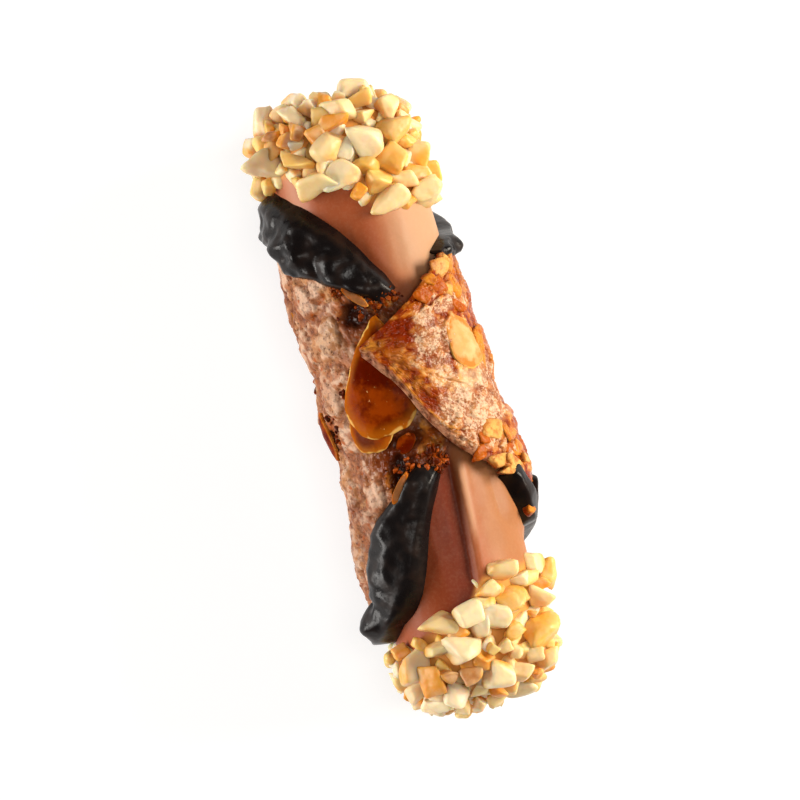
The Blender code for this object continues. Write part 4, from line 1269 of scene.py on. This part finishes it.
def crumb_piece():
    """All crumbs as one mesh, half sunk into the wafer."""
    rng = np.random.default_rng(31)
    places, sizes = [], []
    for at, along, round_, up, count, small, large in CLUSTERS:
        a = at + rng.normal(0, 0.55, count) * round_ / ARC_PER_DEGREE
        y = along + rng.normal(0, 0.55, count) * up
        size = rng.uniform(small, large, count)
        places.append(on_roll(a, y, wafer_smooth_skin(a, y) - 0.1 * size))
        sizes.append(size)
    places, size = np.vstack(places), np.concatenate(sizes)
    half = size[:, None] * rng.uniform(0.5, 1.3, (len(size), 3)) * 0.8
    grid = (10, 14)
    shapes, _ = chopped(rng, half, grid, 0.35)
    turned = np.einsum("nij,nvj->nvi", random_turns(rng, len(size), 180), shapes)
    piece = joined("caramel_crumbs", turned + places[:, None, :], grid)
    tone = np.array([(0.13, 0.016, 0.001), (0.32, 0.06, 0.006), (0.05, 0.005, 0.001), (0.09, 0.010, 0.001)])
    store(piece, "tone", np.repeat(tone[rng.integers(0, 4, len(size))], shapes.shape[1], axis=0))
    return piece


def crumb_finish(name, pale):
    """Clear amber sugar, glossy, with pale grain as strong as asked."""
    r = Recipe(name, Subsurface_Weight=0.1, Subsurface_Scale=0.002, Specular_IOR_Level=0.07)
    tone, _ = r.stored("tone")
    fine, cloud, soft = r.noise(0.5, 3.0), r.noise(1.8, 4.0), r.noise(0.9, 1.0)
    colour = r.mix(r.span(cloud, 0.58, 0.36), tone, r.mix(0.7, tone, (0.30, 0.05, 0.002)))
    colour = r.mix(r.span(fine, 0.5, 0.8, 0.0, pale), colour, (0.76, 0.46, 0.20))
    return r.finish(colour, r.span(fine, 0.3, 0.7, 0.18, 0.36), r.bump(soft, 0.16))


dress(crumb_piece(), crumb_finish("caramel_crumb", 0.12), "sliced_almond")

# %% [markdown]
# The flap's right side and corners carry broken almond pieces up to 5 mm long, side by side with dark cracks between
# them. They are few and each is easy to see, so they are listed one by one.

# %% Broken almond pieces on the flap
# across, along, width, height, heading, tone
BROKEN = [
    (14.2, 23.4, 2.8, 3.6, 20, "pale"), (16.4, 24.4, 1.8, 3.8, -5, "pale"), (17.6, 22.6, 2.2, 4.4, 0, "honey"),
    (11.8, 21.8, 2.4, 2.4, 40, "honey"), (12.9, 19.9, 3.8, 3.6, 20, "amber"), (15.0, 18.8, 3.0, 3.2, 20, "pale"),
    (17.0, 18.8, 2.4, 6.2, 5, "honey"), (8.9, 19.3, 3.0, 2.8, 35, "amber"), (16.2, 15.3, 2.6, 2.2, 30, "amber"),
    (15.8, -10.6, 4.4, 4.2, 15, "pale"), (19.1, -10.8, 2.6, 5.4, 8, "honey"), (13.4, -11.0, 2.2, 2.6, 10, "amber"),
    (15.4, -16.3, 4.2, 2.8, 10, "pale"), (19.1, -15.2, 2.8, 3.2, -10, "honey"), (17.4, -14.0, 2.6, 2.6, 20, "amber"),
    (18.2, -18.0, 2.8, 2.8, 20, "pale"), (12.2, -14.0, 3.6, 2.4, -30, "amber"), (20.0, -17.6, 1.8, 2.6, 0, "pale"),
    (18.7, 6.6, 1.8, 8.6, 14, "honey"), (16.2, -19.0, 2.6, 1.8, 0, "pale"), (19.3, -27.4, 1.6, 2.6, 0, "honey"),
]
BROKEN_TONES = {"honey": (0.58, 0.20, 0.018), "amber": (0.42, 0.09, 0.004), "pale": (0.66, 0.35, 0.09)}


def broken_pieces():
    """Chopped blocks lying on the flap: each is turned by its heading and then tipped to lie on
    the roll at its own angle asin(across / radius)."""
    rng = np.random.default_rng(53)
    across, along, width, height, heading = np.array([piece[:5] for piece in BROKEN]).T
    reach = CREAM_RADIUS + FIT_GAP + WAFER_THICKNESS + FLAP_LIFT
    angle = np.degrees(np.arcsin(np.clip(across / reach, -1, 1)))
    lean = np.cos(np.radians(angle))
    half = np.stack([width / 2 / np.maximum(lean, 0.45), height / 2, 0.9 + 0 * width], 1) * 1.28
    grid = (18, 28)
    shapes, _ = chopped(rng, half, grid, 0.2)
    h, a = np.radians(heading), np.radians(angle)
    zero, one = np.zeros(len(h)), np.ones(len(h))
    spin = np.stack([np.cos(h), np.sin(h), zero, -np.sin(h), np.cos(h), zero, zero, zero, one], 1)
    tip = np.stack([np.cos(a), zero, np.sin(a), zero, one, zero, -np.sin(a), zero, np.cos(a)], 1)
    turn = tip.reshape(-1, 3, 3) @ spin.reshape(-1, 3, 3)
    places = on_roll(angle, along, wafer_smooth_skin(angle, along) - 0.6)
    piece = joined("broken_almond", np.einsum("nij,nvj->nvi", turn, shapes) + places[:, None, :], grid)
    tone = np.array([BROKEN_TONES[row[5]] for row in BROKEN])[:, None, :] + 0 * shapes
    # Each piece is painted darker towards its sunk bottom: painted shade in the gaps between the pieces.
    below = 1 - smooth01(0.2 + shapes[..., 2] / half[:, 2:])
    store(piece, "tone", blend(tone, (0.22, 0.024, 0.001), below).reshape(-1, 3))
    return piece


dress(broken_pieces(), crumb_finish("broken_almond", 0.25), "sliced_almond")

# %% [markdown]
# ## Floor, light and camera
#
# The roll lies on a plain pale table. Two large soft boxes stand low at its sides, a warm one on
# the right and a weaker neutral one on the left, so the top stays darker than the flanks and the
# chocolate shows long soft highlights. A dim white surround fills the rest. The camera looks
# straight down through a long lens, and the roll leans 15 degrees across the picture.

# %% Floor
floor_mesh = bpy.data.meshes.new("floor")
reach = 1.5
floor_mesh.from_pydata(
    [(-reach, -reach, 0), (reach, -reach, 0), (reach, reach, 0), (-reach, reach, 0)], [], [(0, 1, 2, 3)]
)
floor = bpy.data.objects.new("floor", floor_mesh)
bpy.context.scene.collection.objects.link(floor)
paper = Recipe("pale_table", Specular_IOR_Level=0.1, Emission_Strength=0.76)
paper.shader.inputs["Emission Color"].default_value = (1.0, 1.0, 1.0, 1.0)
floor_mesh.materials.append(paper.finish(paper.mix(paper.noise(60.0), (0.32, 0.32, 0.32), (0.34, 0.34, 0.34)), 0.8))
floor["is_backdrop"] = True


# %% Soft boxes and surround
def soft_box(name, place, size, power, colour):
    """A rectangular light that looks at the middle of the roll."""
    light = bpy.data.lights.new(name, "AREA")
    light.shape = "RECTANGLE"
    light.size, light.size_y = size
    light.energy = power
    light.color = colour
    lamp = bpy.data.objects.new(name, light)
    bpy.context.scene.collection.objects.link(lamp)
    target = np.array([AXIS_X, AXIS_Y, AXIS_Z]) * MM
    towards = target - np.array(place)
    lamp.location = place
    level = np.hypot(towards[0], towards[1])
    lamp.rotation_euler = (np.arctan2(level, -towards[2]), 0, np.arctan2(towards[1], towards[0]) - np.pi / 2)
    return lamp


soft_box("soft_box_right", (0.55, 0.0, 0.25), (0.34, 0.20), 6.0, (1.0, 0.91, 0.78))
soft_box("soft_box_left", (-0.55, 0.05, 0.16), (0.42, 0.16), 3.7, (1.0, 0.97, 0.93))
soft_box("soft_box_top", (0.12, -0.02, 0.9), (0.3, 0.3), 2.6, (1.0, 0.97, 0.92))
world = bpy.data.worlds.new("surround")
world.use_nodes = True
world.node_tree.nodes["Background"].inputs["Color"].default_value = (1.0, 1.0, 1.0, 1.0)
world.node_tree.nodes["Background"].inputs["Strength"].default_value = 0.06
bpy.context.scene.world = world
bpy.context.scene.view_settings.view_transform = "Standard"

# %% Camera
CAMERA_DISTANCE = 1.3
VIEW_WIDTH = 0.160
ROLL_LEAN = -15.34
camera_data = bpy.data.cameras.new("camera")
camera_data.sensor_width = 36.0
camera_data.lens = camera_data.sensor_width * (CAMERA_DISTANCE - AXIS_Z * MM) / VIEW_WIDTH
camera = bpy.data.objects.new("camera", camera_data)
camera.location = ((AXIS_X - 0.92) * MM, (AXIS_Y + 0.23) * MM, CAMERA_DISTANCE)
camera.rotation_euler = (0.0, 0.0, np.radians(ROLL_LEAN))
bpy.context.scene.collection.objects.link(camera)
bpy.context.scene.camera = camera
print(f"lens {camera_data.lens:.0f} mm")

# %% [markdown]
# ## Sizes
#
# Both boxes, the solids' and the dressed pieces', are printed at the end.

# %% Print both boxes
dressed_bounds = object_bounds()
for label, (low, high) in (("solids", cad_bounds), ("dressed", dressed_bounds)):
    print(label, [f"{(b - a) / MM:.1f} mm" for a, b in zip(low, high)])
